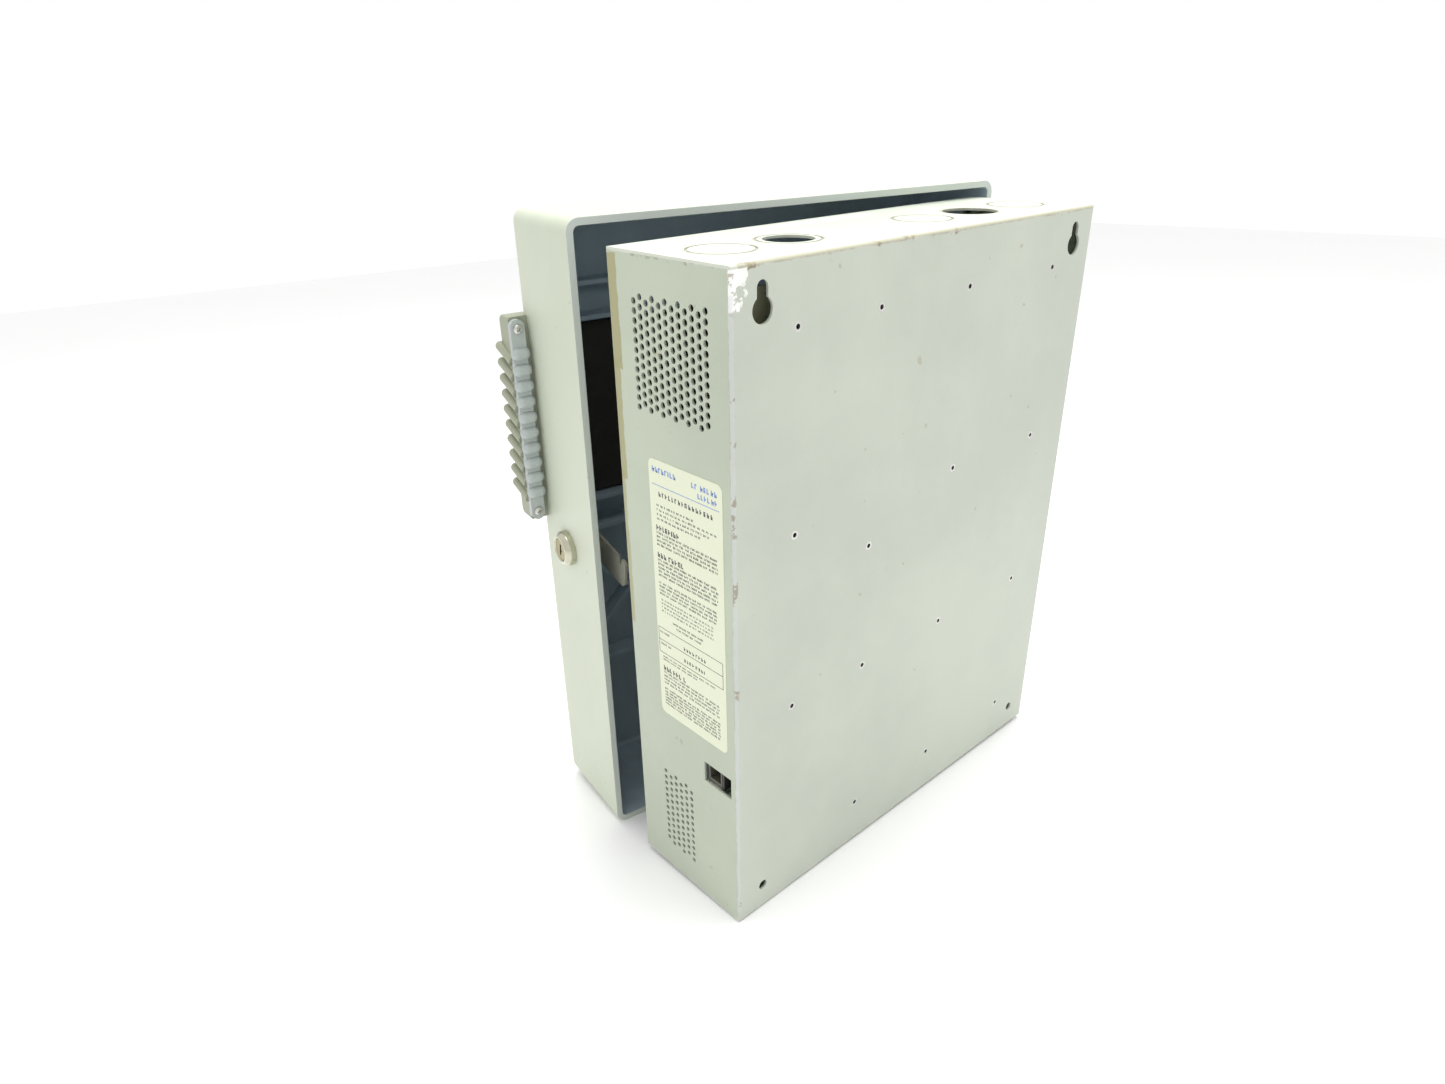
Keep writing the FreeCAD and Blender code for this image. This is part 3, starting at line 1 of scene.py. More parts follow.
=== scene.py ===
"""Visual model of a wall-mounted control panel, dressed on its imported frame.

The metal box, the board's main parts, the hinged cover and the cam lock come
from the frame and keep their shapes.  This file gives every one of them its
finish, swaps plain screw heads for cross-recessed ones, prints the label,
stocks the circuit board with its small parts, and sets the studio.
"""
import json
import logging
import math
import random
from dataclasses import dataclass, replace
from enum import Enum
from typing import Callable, Dict, List, Optional, Sequence, Tuple, Union

import bmesh
import bpy
from mathutils import Euler, Matrix, Vector


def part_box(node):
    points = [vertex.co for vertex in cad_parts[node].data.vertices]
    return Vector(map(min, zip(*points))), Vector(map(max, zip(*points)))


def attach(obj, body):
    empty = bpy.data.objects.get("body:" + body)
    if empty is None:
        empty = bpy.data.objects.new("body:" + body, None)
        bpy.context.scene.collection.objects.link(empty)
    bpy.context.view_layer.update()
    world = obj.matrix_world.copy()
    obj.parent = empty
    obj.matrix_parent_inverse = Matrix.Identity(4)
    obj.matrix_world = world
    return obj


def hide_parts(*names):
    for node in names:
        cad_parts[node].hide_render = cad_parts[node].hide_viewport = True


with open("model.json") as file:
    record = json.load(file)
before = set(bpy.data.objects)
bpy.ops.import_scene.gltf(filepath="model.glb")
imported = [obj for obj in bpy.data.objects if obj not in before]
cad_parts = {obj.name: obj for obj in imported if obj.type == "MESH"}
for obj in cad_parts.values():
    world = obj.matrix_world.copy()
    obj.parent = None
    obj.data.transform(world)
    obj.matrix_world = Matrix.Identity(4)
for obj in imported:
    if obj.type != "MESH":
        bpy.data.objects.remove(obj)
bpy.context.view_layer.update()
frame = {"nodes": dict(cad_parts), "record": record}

log = logging.getLogger("control_panel")

Colour = Tuple[float, float, float]
Socket = bpy.types.NodeSocket
Number = Union[float, Socket]


# ---------------------------------------------------------------- shader writing
class Shade:
    """One material's nodes, written in a few short calls."""

    def __init__(self, name: str, colour: Colour, roughness: float, metallic: float = 0.0) -> None:
        """Start a material.

        Args:
            name: the material's name.
            colour: linear base colour.
            roughness: the surface's plain roughness.
            metallic: 0 for paint and plastic, 1 for bare metal.
        """
        self.material = bpy.data.materials.new(name)
        self.material.use_nodes = True
        self.tree = self.material.node_tree
        self.tree.nodes.clear()
        self.output = self.tree.nodes.new("ShaderNodeOutputMaterial")
        self.surface = self.tree.nodes.new("ShaderNodeBsdfPrincipled")
        self.tree.links.new(self.surface.outputs["BSDF"], self.output.inputs["Surface"])
        self.surface.inputs["Base Color"].default_value = (*colour, 1.0)
        self.surface.inputs["Roughness"].default_value = roughness
        self.surface.inputs["Metallic"].default_value = metallic
        self.place = self.tree.nodes.new("ShaderNodeTexCoord").outputs["Object"]

    def _feed(self, socket: Socket, value: Union[Number, Sequence[float]]) -> None:
        """Link a socket, or set it when the value is a constant."""
        if isinstance(value, bpy.types.NodeSocket):
            self.tree.links.new(value, socket)
        elif isinstance(value, (int, float)):
            socket.default_value = value
        else:
            socket.default_value = tuple(value) if len(value) == len(socket.default_value) else (*value, 1.0)

    def set(self, name: str, value: Union[Number, Sequence[float]]) -> None:
        """Give the surface shader's named socket a value or a link."""
        self._feed(self.surface.inputs[name], value)

    def math(self, operation: str, a: Number, b: Number = 0.0) -> Socket:
        """Return the result of one Math node."""
        node = self.tree.nodes.new("ShaderNodeMath")
        node.operation = operation
        self._feed(node.inputs[0], a)
        self._feed(node.inputs[1], b)
        return node.outputs[0]

    def axes(self, vector: Optional[Socket] = None) -> Tuple[Socket, Socket, Socket]:
        """Return the X, Y and Z of a vector, by default the object's own place."""
        node = self.tree.nodes.new("ShaderNodeSeparateXYZ")
        self.tree.links.new(vector or self.place, node.inputs[0])
        return node.outputs[0], node.outputs[1], node.outputs[2]

    def moved(self, origin: Vector, turn_z: float) -> Socket:
        """Return the place measured from an origin, turned about Z."""
        node = self.tree.nodes.new("ShaderNodeMapping")
        node.vector_type = "TEXTURE"
        node.inputs["Location"].default_value = origin
        node.inputs["Rotation"].default_value = (0.0, 0.0, turn_z)
        self.tree.links.new(self.place, node.inputs["Vector"])
        return node.outputs[0]

    def stretched(self, scale: Sequence[float]) -> Socket:
        """Return the place scaled unevenly, for grain and scratches."""
        node = self.tree.nodes.new("ShaderNodeMapping")
        node.inputs["Scale"].default_value = scale
        self.tree.links.new(self.place, node.inputs["Vector"])
        return node.outputs[0]

    def noise(self, scale: float, detail: float = 3.0, roughness: float = 0.5,
              vector: Optional[Socket] = None) -> Socket:
        """Return a Noise texture's value; scale is in features per metre."""
        node = self.tree.nodes.new("ShaderNodeTexNoise")
        node.inputs["Scale"].default_value = scale
        node.inputs["Detail"].default_value = detail
        node.inputs["Roughness"].default_value = roughness
        self.tree.links.new(vector or self.place, node.inputs["Vector"])
        return node.outputs["Fac"]

    def cells(self, scale: float) -> Socket:
        """Return a Voronoi texture's distance; scale is in cells per metre."""
        node = self.tree.nodes.new("ShaderNodeTexVoronoi")
        node.inputs["Scale"].default_value = scale
        self.tree.links.new(self.place, node.inputs["Vector"])
        return node.outputs["Distance"]

    def band(self, source: Number, low: float, high: float) -> Socket:
        """Return 0 below low, 1 above high, with a smooth rise between; low may be the greater."""
        node = self.tree.nodes.new("ShaderNodeMapRange")
        node.interpolation_type = "SMOOTHSTEP"
        rising = low <= high
        self._feed(node.inputs["Value"], source)
        node.inputs["From Min"].default_value = low if rising else high
        node.inputs["From Max"].default_value = high if rising else low
        node.inputs["To Min"].default_value = 0.0 if rising else 1.0
        node.inputs["To Max"].default_value = 1.0 if rising else 0.0
        return node.outputs["Result"]

    def mix(self, factor: Number, a: Union[Socket, Colour], b: Union[Socket, Colour]) -> Socket:
        """Return a colour between a and b."""
        node = self.tree.nodes.new("ShaderNodeMix")
        node.data_type = "RGBA"
        self._feed(node.inputs[0], factor)
        self._feed(node.inputs[6], a)
        self._feed(node.inputs[7], b)
        return node.outputs[2]

    def past_rounded_box(self, centre: Vector, half: Vector, radius: float, vector: Socket) -> Socket:
        """Return how far the place is outside a box with rounded edges; negative inside."""
        offset = self._vector("SUBTRACT", vector, centre)
        folded = self._vector("ABSOLUTE", offset, (0.0, 0.0, 0.0))
        over = self._vector("SUBTRACT", folded, [part - radius for part in half])
        outside = self._vector("MAXIMUM", over, (0.0, 0.0, 0.0))
        length = self.tree.nodes.new("ShaderNodeVectorMath")
        length.operation = "LENGTH"
        self.tree.links.new(outside, length.inputs[0])
        return self.math("SUBTRACT", length.outputs["Value"], radius)

    def _vector(self, operation: str, a: Socket, b: Union[Socket, Sequence[float]]) -> Socket:
        """Return the result of one Vector Math node."""
        node = self.tree.nodes.new("ShaderNodeVectorMath")
        node.operation = operation
        self._feed(node.inputs[0], a)
        self._feed(node.inputs[1], b)
        return node.outputs[0]

    def softened(self, radius: float) -> Socket:
        """Return a normal that rounds every edge by a small radius."""
        node = self.tree.nodes.new("ShaderNodeBevel")
        node.samples = 3
        node.inputs["Radius"].default_value = radius
        return node.outputs[0]

    def edges(self, radius: float) -> Socket:
        """Return a mask that is 1 along sharp edges and 0 on flat faces."""
        geometry = self.tree.nodes.new("ShaderNodeNewGeometry")
        dot = self.tree.nodes.new("ShaderNodeVectorMath")
        dot.operation = "DOT_PRODUCT"
        self.tree.links.new(geometry.outputs["Normal"], dot.inputs[0])
        self.tree.links.new(self.softened(radius), dot.inputs[1])
        return self.band(dot.outputs["Value"], 0.985, 0.86)

    def bump(self, height: Number, strength: float, distance: float, normal: Optional[Socket] = None) -> None:
        """Raise the surface by a height signal, on top of another normal."""
        node = self.tree.nodes.new("ShaderNodeBump")
        node.inputs["Strength"].default_value = strength
        node.inputs["Distance"].default_value = distance
        self._feed(node.inputs["Height"], height)
        if normal is not None:
            self.tree.links.new(normal, node.inputs["Normal"])
        self.tree.links.new(node.outputs[0], self.surface.inputs["Normal"])

    def inside(self, low: Sequence[float], high: Sequence[float], soft: float,
               wobble: Socket, reach: float) -> Socket:
        """Return a mask for a box region with ragged edges.

        Args:
            low: the region's lowest corner.
            high: its highest corner.
            soft: how far the edge fades, in metres.
            wobble: a noise value round 0.5 that pushes the edge about.
            reach: how far the wobble pushes it, in metres.

        Returns:
            The mask's socket, 1 inside and 0 outside.
        """
        push = self.math("MULTIPLY", self.math("SUBTRACT", wobble, 0.5), 2.0 * reach)
        mask: Optional[Socket] = None
        for place, start, end in zip(self.axes(), low, high):
            above = self.band(self.math("SUBTRACT", place, push), start - soft, start + soft)
            below = self.band(self.math("ADD", place, push), end + soft, end - soft)
            side = self.math("MULTIPLY", above, below)
            mask = side if mask is None else self.math("MULTIPLY", mask, side)
        return mask


# ---------------------------------------------------------------- finishes
@dataclass(frozen=True)
class Mark:
    """A worn, stained or scuffed patch in a painted surface, or a painted highlight, as a box region in
    metres.
    """

    low: Tuple[float, float, float]
    high: Tuple[float, float, float]
    tone: Colour
    amount: float = 0.8
    ragged: float = 0.004
    soft: float = 0.0012
    grain: float = 140.0
    speckle: float = 0.0


@dataclass(frozen=True)
class PunchedRing:
    """The groove that a half-punched disc leaves in a flange, painted dark in the dirt tone as shade in the
    groove.
    """

    x: float
    y: float
    radius: float
    width: float = 0.0017


@dataclass(frozen=True)
class EnamelPaint:
    """Stove enamel over sheet steel, with handling wear, painted shade in punched grooves, and any painted
    highlight that its marks carry.
    """

    name: str
    colour: Colour
    roughness: float = 0.42
    chip: Colour = (0.78, 0.78, 0.72)
    dirt: Colour = (0.36, 0.33, 0.24)
    edge_wear: float = 0.7
    marks: Tuple[Mark, ...] = ()
    rings: Tuple[PunchedRing, ...] = ()

    def _groove(self, shade: Shade, ring: PunchedRing) -> Socket:
        """Return a mask along one punched ring, on flat flanges only."""
        x, y, _ = shade.axes()
        across, along = shade.math("SUBTRACT", x, ring.x), shade.math("SUBTRACT", y, ring.y)
        squares = shade.math("ADD", shade.math("POWER", across, 2.0), shade.math("POWER", along, 2.0))
        away = shade.math("SQRT", squares)
        off = shade.math("ABSOLUTE", shade.math("SUBTRACT", away, ring.radius))
        return shade.band(off, ring.width, 0.5 * ring.width)

    def material(self) -> bpy.types.Material:
        """Return the enamel's material."""
        shade = Shade(self.name, self.colour, self.roughness)
        darker = tuple(0.92 * part for part in self.colour)
        lighter = tuple(min(1.0, 1.05 * part) for part in self.colour)
        cloud = shade.band(shade.noise(5.0, 5.0, 0.6), 0.35, 0.68)
        tone = shade.mix(cloud, darker, lighter)
        stipple = shade.band(shade.noise(260.0, 2.0, 0.6), 0.62, 0.78)
        tone = shade.mix(shade.math("MULTIPLY", stipple, 0.16), tone, self.dirt)
        specks = shade.band(shade.noise(95.0, 2.0, 0.4), 0.735, 0.76)
        tone = shade.mix(shade.math("MULTIPLY", specks, 0.55), tone, self.dirt)
        scratch = shade.noise(1.0, 2.0, 0.5, shade.stretched((60.0, 60.0, 9.0)))
        thin = shade.math("MULTIPLY", shade.band(scratch, 0.497, 0.5), shade.band(scratch, 0.506, 0.502))
        broken = shade.band(shade.noise(9.0, 2.0), 0.56, 0.66)
        scratches = shade.math("MULTIPLY", thin, broken)
        tone = shade.mix(shade.math("MULTIPLY", scratches, 0.35), tone, lighter)
        for mark in self.marks:
            wobble = shade.noise(mark.grain, 5.0, 0.65)
            mask = shade.inside(mark.low, mark.high, mark.soft, wobble, mark.ragged)
            if mark.speckle > 0.0:
                spots = shade.band(shade.noise(mark.speckle, 3.0, 0.6), 0.56, 0.61)
                clumps = shade.band(shade.noise(28.0, 2.0, 0.5), 0.47, 0.56)
                mask = shade.math("MULTIPLY", mask, shade.math("MULTIPLY", spots, clumps))
            tone = shade.mix(shade.math("MULTIPLY", mask, mark.amount), tone, mark.tone)
        # Painted shade: each punched ring's groove is darkened in the dirt tone, standing in for the shade in
        # the groove.
        for ring in self.rings:
            groove_shade_breakup = shade.band(shade.noise(130.0, 4.0, 0.6), 0.28, 0.52)
            groove_shade = shade.math("MULTIPLY", self._groove(shade, ring), groove_shade_breakup)
            tone = shade.mix(shade.math("MULTIPLY", groove_shade, 0.68), tone, self.dirt)
        patchy = shade.band(shade.noise(70.0, 4.0, 0.7), 0.45, 0.58)
        worn = shade.math("MULTIPLY", shade.edges(0.0009), patchy)
        tone = shade.mix(shade.math("MULTIPLY", worn, self.edge_wear), tone, self.chip)
        shade.set("Base Color", tone)
        uneven = shade.math("MULTIPLY", shade.math("SUBTRACT", cloud, 0.5), 0.12)
        shade.set("Roughness", shade.math("ADD", uneven, self.roughness))
        shade.surface.inputs["Specular IOR Level"].default_value = 0.35
        peel = shade.noise(520.0, 3.0, 0.55)
        shade.bump(peel, 0.10, 0.0006, shade.softened(0.0005))
        return shade.material


@dataclass(frozen=True)
class Moulding:
    """Moulded plastic with a fine spark-eroded grain."""

    name: str
    colour: Colour
    roughness: float = 0.5
    grain: float = 900.0
    relief: float = 0.2
    variation: float = 0.06
    soften: float = 0.0004
    dust: float = 0.0

    def material(self) -> bpy.types.Material:
        """Return the moulding's material."""
        shade = Shade(self.name, self.colour, self.roughness)
        low = tuple(part * (1.0 - self.variation) for part in self.colour)
        high = tuple(min(1.0, part * (1.0 + self.variation)) for part in self.colour)
        tone = shade.mix(shade.noise(24.0, 4.0, 0.6), low, high)
        if self.dust > 0.0:
            settled = shade.band(shade.noise(120.0, 5.0, 0.7), 0.5, 0.75)
            tone = shade.mix(shade.math("MULTIPLY", settled, self.dust), tone, (0.55, 0.54, 0.47))
        shade.set("Base Color", tone)
        shade.bump(shade.noise(self.grain, 2.0, 0.5), self.relief, 0.0003, shade.softened(self.soften))
        return shade.material


class Plating(Enum):
    """How a bare metal part was finished, which sets what it tarnishes to."""

    ZINC = "zinc"
    NICKEL = "nickel"
    BRASS = "brass"
    ANODISED = "anodised"
    GOLD = "gold"

    @property
    def tarnish(self) -> Colour:
        """Return the tone of the plating's stains."""
        return (0.1, 0.1, 0.1) if self is Plating.ANODISED else (0.25, 0.21, 0.14)


@dataclass(frozen=True)
class BareMetal:
    """Plated or bare metal with fine handling marks."""

    name: str
    plating: Plating
    colour: Colour
    roughness: float = 0.3
    tarnish_amount: float = 0.2
    metallic: float = 1.0

    def material(self) -> bpy.types.Material:
        """Return the metal's material."""
        shade = Shade(self.name, self.colour, self.roughness, self.metallic)
        stain = shade.band(shade.noise(150.0, 5.0, 0.65), 0.48, 0.72)
        stained = shade.math("MULTIPLY", stain, self.tarnish_amount)
        tone = shade.mix(stained, self.colour, self.plating.tarnish)
        shade.set("Base Color", tone)
        rubbed = shade.noise(1.0, 3.0, 0.6, shade.stretched((900.0, 900.0, 160.0)))
        shade.set("Roughness", shade.math("ADD", shade.math("MULTIPLY", rubbed, 0.22), self.roughness - 0.1))
        shade.bump(rubbed, 0.06, 0.0002, shade.softened(0.0003))
        return shade.material


@dataclass(frozen=True)
class PrintedFilm:
    """Glossy printed film or plain paper, a little aged."""

    name: str
    colour: Colour
    roughness: float = 0.35
    aged: Colour = (0.62, 0.56, 0.38)
    ageing: float = 0.25

    def material(self) -> bpy.types.Material:
        """Return the film's material."""
        shade = Shade(self.name, self.colour, self.roughness)
        yellow = shade.band(shade.noise(14.0, 5.0, 0.6), 0.42, 0.8)
        tone = shade.mix(shade.math("MULTIPLY", yellow, self.ageing), self.colour, self.aged)
        spots = shade.band(shade.noise(240.0, 2.0, 0.5), 0.72, 0.78)
        tone = shade.mix(shade.math("MULTIPLY", spots, 0.3), tone, self.aged)
        shade.set("Base Color", tone)
        shade.bump(shade.noise(60.0, 3.0, 0.5), 0.08, 0.0006)
        return shade.material


@dataclass(frozen=True)
class BoardLaminate:
    """Green solder mask with etched tracks that show through it."""

    name: str
    mask: Colour = (0.012, 0.085, 0.045)
    track: Colour = (0.03, 0.17, 0.085)
    rear_tone: Colour = (0.50, 0.51, 0.34)
    rear_plane: float = -0.014

    def material(self) -> bpy.types.Material:
        """Return the board's material."""
        shade = Shade(self.name, self.mask, 0.28)
        x, y, z = shade.axes()
        wander = shade.math("MULTIPLY", shade.noise(16.0, 1.0), 0.02)
        lanes = []
        for across, run in ((z, (34.0, 1.0, 420.0)), (x, (420.0, 1.0, 34.0))):
            stripe = shade.math("PINGPONG", shade.math("ADD", across, wander), 0.00127)
            line = shade.band(stripe, 0.0005, 0.0004)
            broken = shade.band(shade.noise(1.0, 1.0, 0.4, shade.stretched(run)), 0.5, 0.52)
            lanes.append(shade.math("MULTIPLY", line, broken))
        tracks = shade.math("MAXIMUM", lanes[0], lanes[1])
        pads = shade.band(shade.cells(290.0), 0.17, 0.13)
        tone = shade.mix(tracks, self.mask, self.track)
        tone = shade.mix(shade.math("MULTIPLY", pads, 0.9), tone, (0.42, 0.43, 0.40))
        rear_face = shade.band(y, self.rear_plane - 0.0003, self.rear_plane - 0.0001)
        tone = shade.mix(rear_face, tone, shade.mix(pads, self.rear_tone, (0.10, 0.30, 0.26)))
        shade.set("Base Color", tone)
        shade.bump(tracks, 0.25, 0.0001)
        return shade.material


@dataclass(frozen=True)
class Laminations:
    """Varnished steel sheets stacked along one axis."""

    name: str
    colour: Colour
    pitch: float = 0.0008

    def material(self) -> bpy.types.Material:
        """Return the stack's material."""
        shade = Shade(self.name, self.colour, 0.45, 0.6)
        _, y, _ = shade.axes()
        seam = shade.math("PINGPONG", y, self.pitch / 2.0)
        groove = shade.band(seam, 0.0, self.pitch / 5.0)
        rusty = shade.band(shade.noise(110.0, 4.0, 0.7), 0.52, 0.72)
        tone = shade.mix(shade.math("MULTIPLY", rusty, 0.5), self.colour, (0.16, 0.09, 0.05))
        shade.set("Base Color", tone)
        shade.bump(groove, 0.5, 0.0002)
        return shade.material


@dataclass(frozen=True)
class ClearTube:
    """Thin clear glass."""

    name: str
    tint: Colour = (0.82, 0.88, 0.86)

    def material(self) -> bpy.types.Material:
        """Return the glass's material."""
        shade = Shade(self.name, self.tint, 0.06)
        shade.surface.inputs["Transmission Weight"].default_value = 0.7
        shade.surface.inputs["IOR"].default_value = 1.47
        dusty = shade.band(shade.noise(180.0, 4.0, 0.6), 0.45, 0.8)
        shade.set("Base Color", shade.mix(shade.math("MULTIPLY", dusty, 0.3), self.tint, (0.5, 0.5, 0.45)))
        return shade.material


# ---------------------------------------------------------------- mesh helpers
def new_object(name: str, mesh: bpy.types.Mesh) -> bpy.types.Object:
    """Link a new object that shows a mesh."""
    thing = bpy.data.objects.new(name, mesh)
    bpy.context.scene.collection.objects.link(thing)
    return thing


def mesh_from(name: str, build: Callable[[bmesh.types.BMesh], None]) -> bpy.types.Mesh:
    """Make a mesh with a function that fills a bmesh, with its faces pointing outwards."""
    work = bmesh.new()
    build(work)
    bmesh.ops.remove_doubles(work, verts=work.verts, dist=1e-7)
    bmesh.ops.recalc_face_normals(work, faces=work.faces)
    mesh = bpy.data.meshes.new(name)
    work.to_mesh(mesh)
    work.free()
    return mesh


def lathe(work: bmesh.types.BMesh, profile: Sequence[Tuple[float, float]], segments: int = 24) -> None:
    """Turn a profile of (radius, height) points about Z; both ends lie on the axis or are capped."""
    rings = []
    for radius, height in profile:
        if radius < 1e-9:
            rings.append([work.verts.new((0.0, 0.0, height))])
            continue
        rings.append([work.verts.new((radius * math.cos(2 * math.pi * i / segments),
                                      radius * math.sin(2 * math.pi * i / segments), height))
                      for i in range(segments)])
    for lower, upper in zip(rings, rings[1:]):
        for i in range(segments):
            j = (i + 1) % segments
            corners = [lower[i % len(lower)], lower[j % len(lower)],
                       upper[j % len(upper)], upper[i % len(upper)]]
            unique = list(dict.fromkeys(corners))
            if len(unique) > 2:
                work.faces.new(unique)
    for ring in (rings[0], rings[-1]):
        if len(ring) > 2:
            work.faces.new(ring)


def shade_smooth(mesh: bpy.types.Mesh, angle: float = 40.0) -> None:
    """Smooth a mesh's faces, and keep edges sharper than the angle."""
    mesh.polygons.foreach_set("use_smooth", [True] * len(mesh.polygons))
    mesh.set_sharp_from_angle(angle=math.radians(angle))


# ---------------------------------------------------------------- geometry nodes
class Grower:
    """Builds one Geometry Nodes tree, runs it, and keeps the plain mesh that comes out."""

    def __init__(self, name: str) -> None:
        """Start an empty tree with a geometry input and output."""
        self.name = name
        self.tree = bpy.data.node_groups.new(name, "GeometryNodeTree")
        self.tree.interface.new_socket("Geometry", in_out="INPUT", socket_type="NodeSocketGeometry")
        self.tree.interface.new_socket("Geometry", in_out="OUTPUT", socket_type="NodeSocketGeometry")
        self.settings: Dict[str, float] = {}
        self.sockets: Dict[str, str] = {}
        self.entry = self.tree.nodes.new("NodeGroupInput")
        self.exit = self.tree.nodes.new("NodeGroupOutput")

    def add(self, kind: str, **inputs: object) -> bpy.types.Node:
        """Add a node; inputs are named sockets with values or links."""
        node = self.tree.nodes.new(kind)
        for key, value in inputs.items():
            socket = node.inputs[key.replace("_", " ")]
            if isinstance(value, bpy.types.NodeSocket):
                self.tree.links.new(value, socket)
            else:
                socket.default_value = value
        return node

    def input(self, name: str, value: float) -> Socket:
        """Add a named size to the tree and return its socket."""
        item = self.tree.interface.new_socket(name, in_out="INPUT", socket_type="NodeSocketFloat")
        self.settings[name] = value
        self.sockets[name] = item.identifier
        return self.entry.outputs[name]

    def run(self, geometry: Socket, material: bpy.types.Material, base: bpy.types.Mesh) -> bpy.types.Object:
        """Close the tree, evaluate it and return the finished piece.

        Args:
            geometry: the last geometry socket.
            material: what the piece is made of.
            base: the mesh that the modifier sits on.

        Returns:
            A plain mesh object at the origin.
        """
        solid = self.add("GeometryNodeRealizeInstances", Geometry=geometry)
        dressed = self.add("GeometryNodeSetMaterial", Geometry=solid.outputs[0])
        dressed.inputs["Material"].default_value = material
        self.tree.links.new(dressed.outputs[0], self.exit.inputs[0])
        holder = new_object(self.name + "_source", base)
        modifier = holder.modifiers.new("grow", "NODES")
        modifier.node_group = self.tree
        for name, value in self.settings.items():
            modifier[self.sockets[name]] = value
        bpy.context.view_layer.update()
        evaluated = holder.evaluated_get(bpy.context.evaluated_depsgraph_get())
        mesh = bpy.data.meshes.new_from_object(evaluated)
        holder.modifiers.clear()
        bpy.data.objects.remove(holder)
        mesh.name = self.name
        if not mesh.materials:
            mesh.materials.append(material)
        return new_object(self.name, mesh)


def scatter(name: str, template: bpy.types.Mesh, spots: Sequence[Tuple[Vector, Matrix]],
            material: bpy.types.Material) -> bpy.types.Object:
    """Put a copy of a template at each spot, through Geometry Nodes.

    Args:
        name: the new piece's name.
        template: the mesh to repeat; it stands on +Z at its own origin.
        spots: each copy's place and turn, in the frame's coordinates.
        material: what every copy is made of.

    Returns:
        One plain mesh piece that holds all the copies.
    """
    points = bpy.data.meshes.new(name + "_points")
    points.from_pydata([place for place, _ in spots], [], [])
    turns = points.attributes.new("turn", "FLOAT_VECTOR", "POINT")
    for item, (_, turn) in zip(turns.data, spots):
        item.vector = turn.to_euler("XYZ")
    source = new_object(name + "_template", template)
    grower = Grower(name)
    size = grower.input("Size", 1.0)
    template_info = grower.add("GeometryNodeObjectInfo")
    template_info.inputs["Object"].default_value = source
    heading = grower.add("GeometryNodeInputNamedAttribute", Name="turn")
    heading.data_type = "FLOAT_VECTOR"
    turn = grower.add("FunctionNodeEulerToRotation", Euler=heading.outputs[0])
    placed = grower.add("GeometryNodeInstanceOnPoints", Points=grower.entry.outputs[0],
                        Instance=template_info.outputs["Geometry"], Rotation=turn.outputs[0], Scale=size)
    piece = grower.run(placed.outputs[0], material, points)
    bpy.data.objects.remove(source)
    return piece


def keep(piece: bpy.types.Object, body: str, slot: str, *replaced: str) -> None:
    """Tie a finished piece to its body, and hide the nodes it stands for."""
    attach(piece, body)
    if replaced:
        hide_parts(*replaced)
    log.info("%s: %d faces on %s", piece.name, len(piece.data.polygons), body)


# ---------------------------------------------------------------- the cover's own frame
HINGE_AXIS = Vector((-0.1652, -0.060, 0.0))
AJAR_ANGLE = math.radians(-8.0)
COVER_FRAME = Matrix.Translation(HINGE_AXIS) @ Matrix.Rotation(AJAR_ANGLE, 4, "Z")


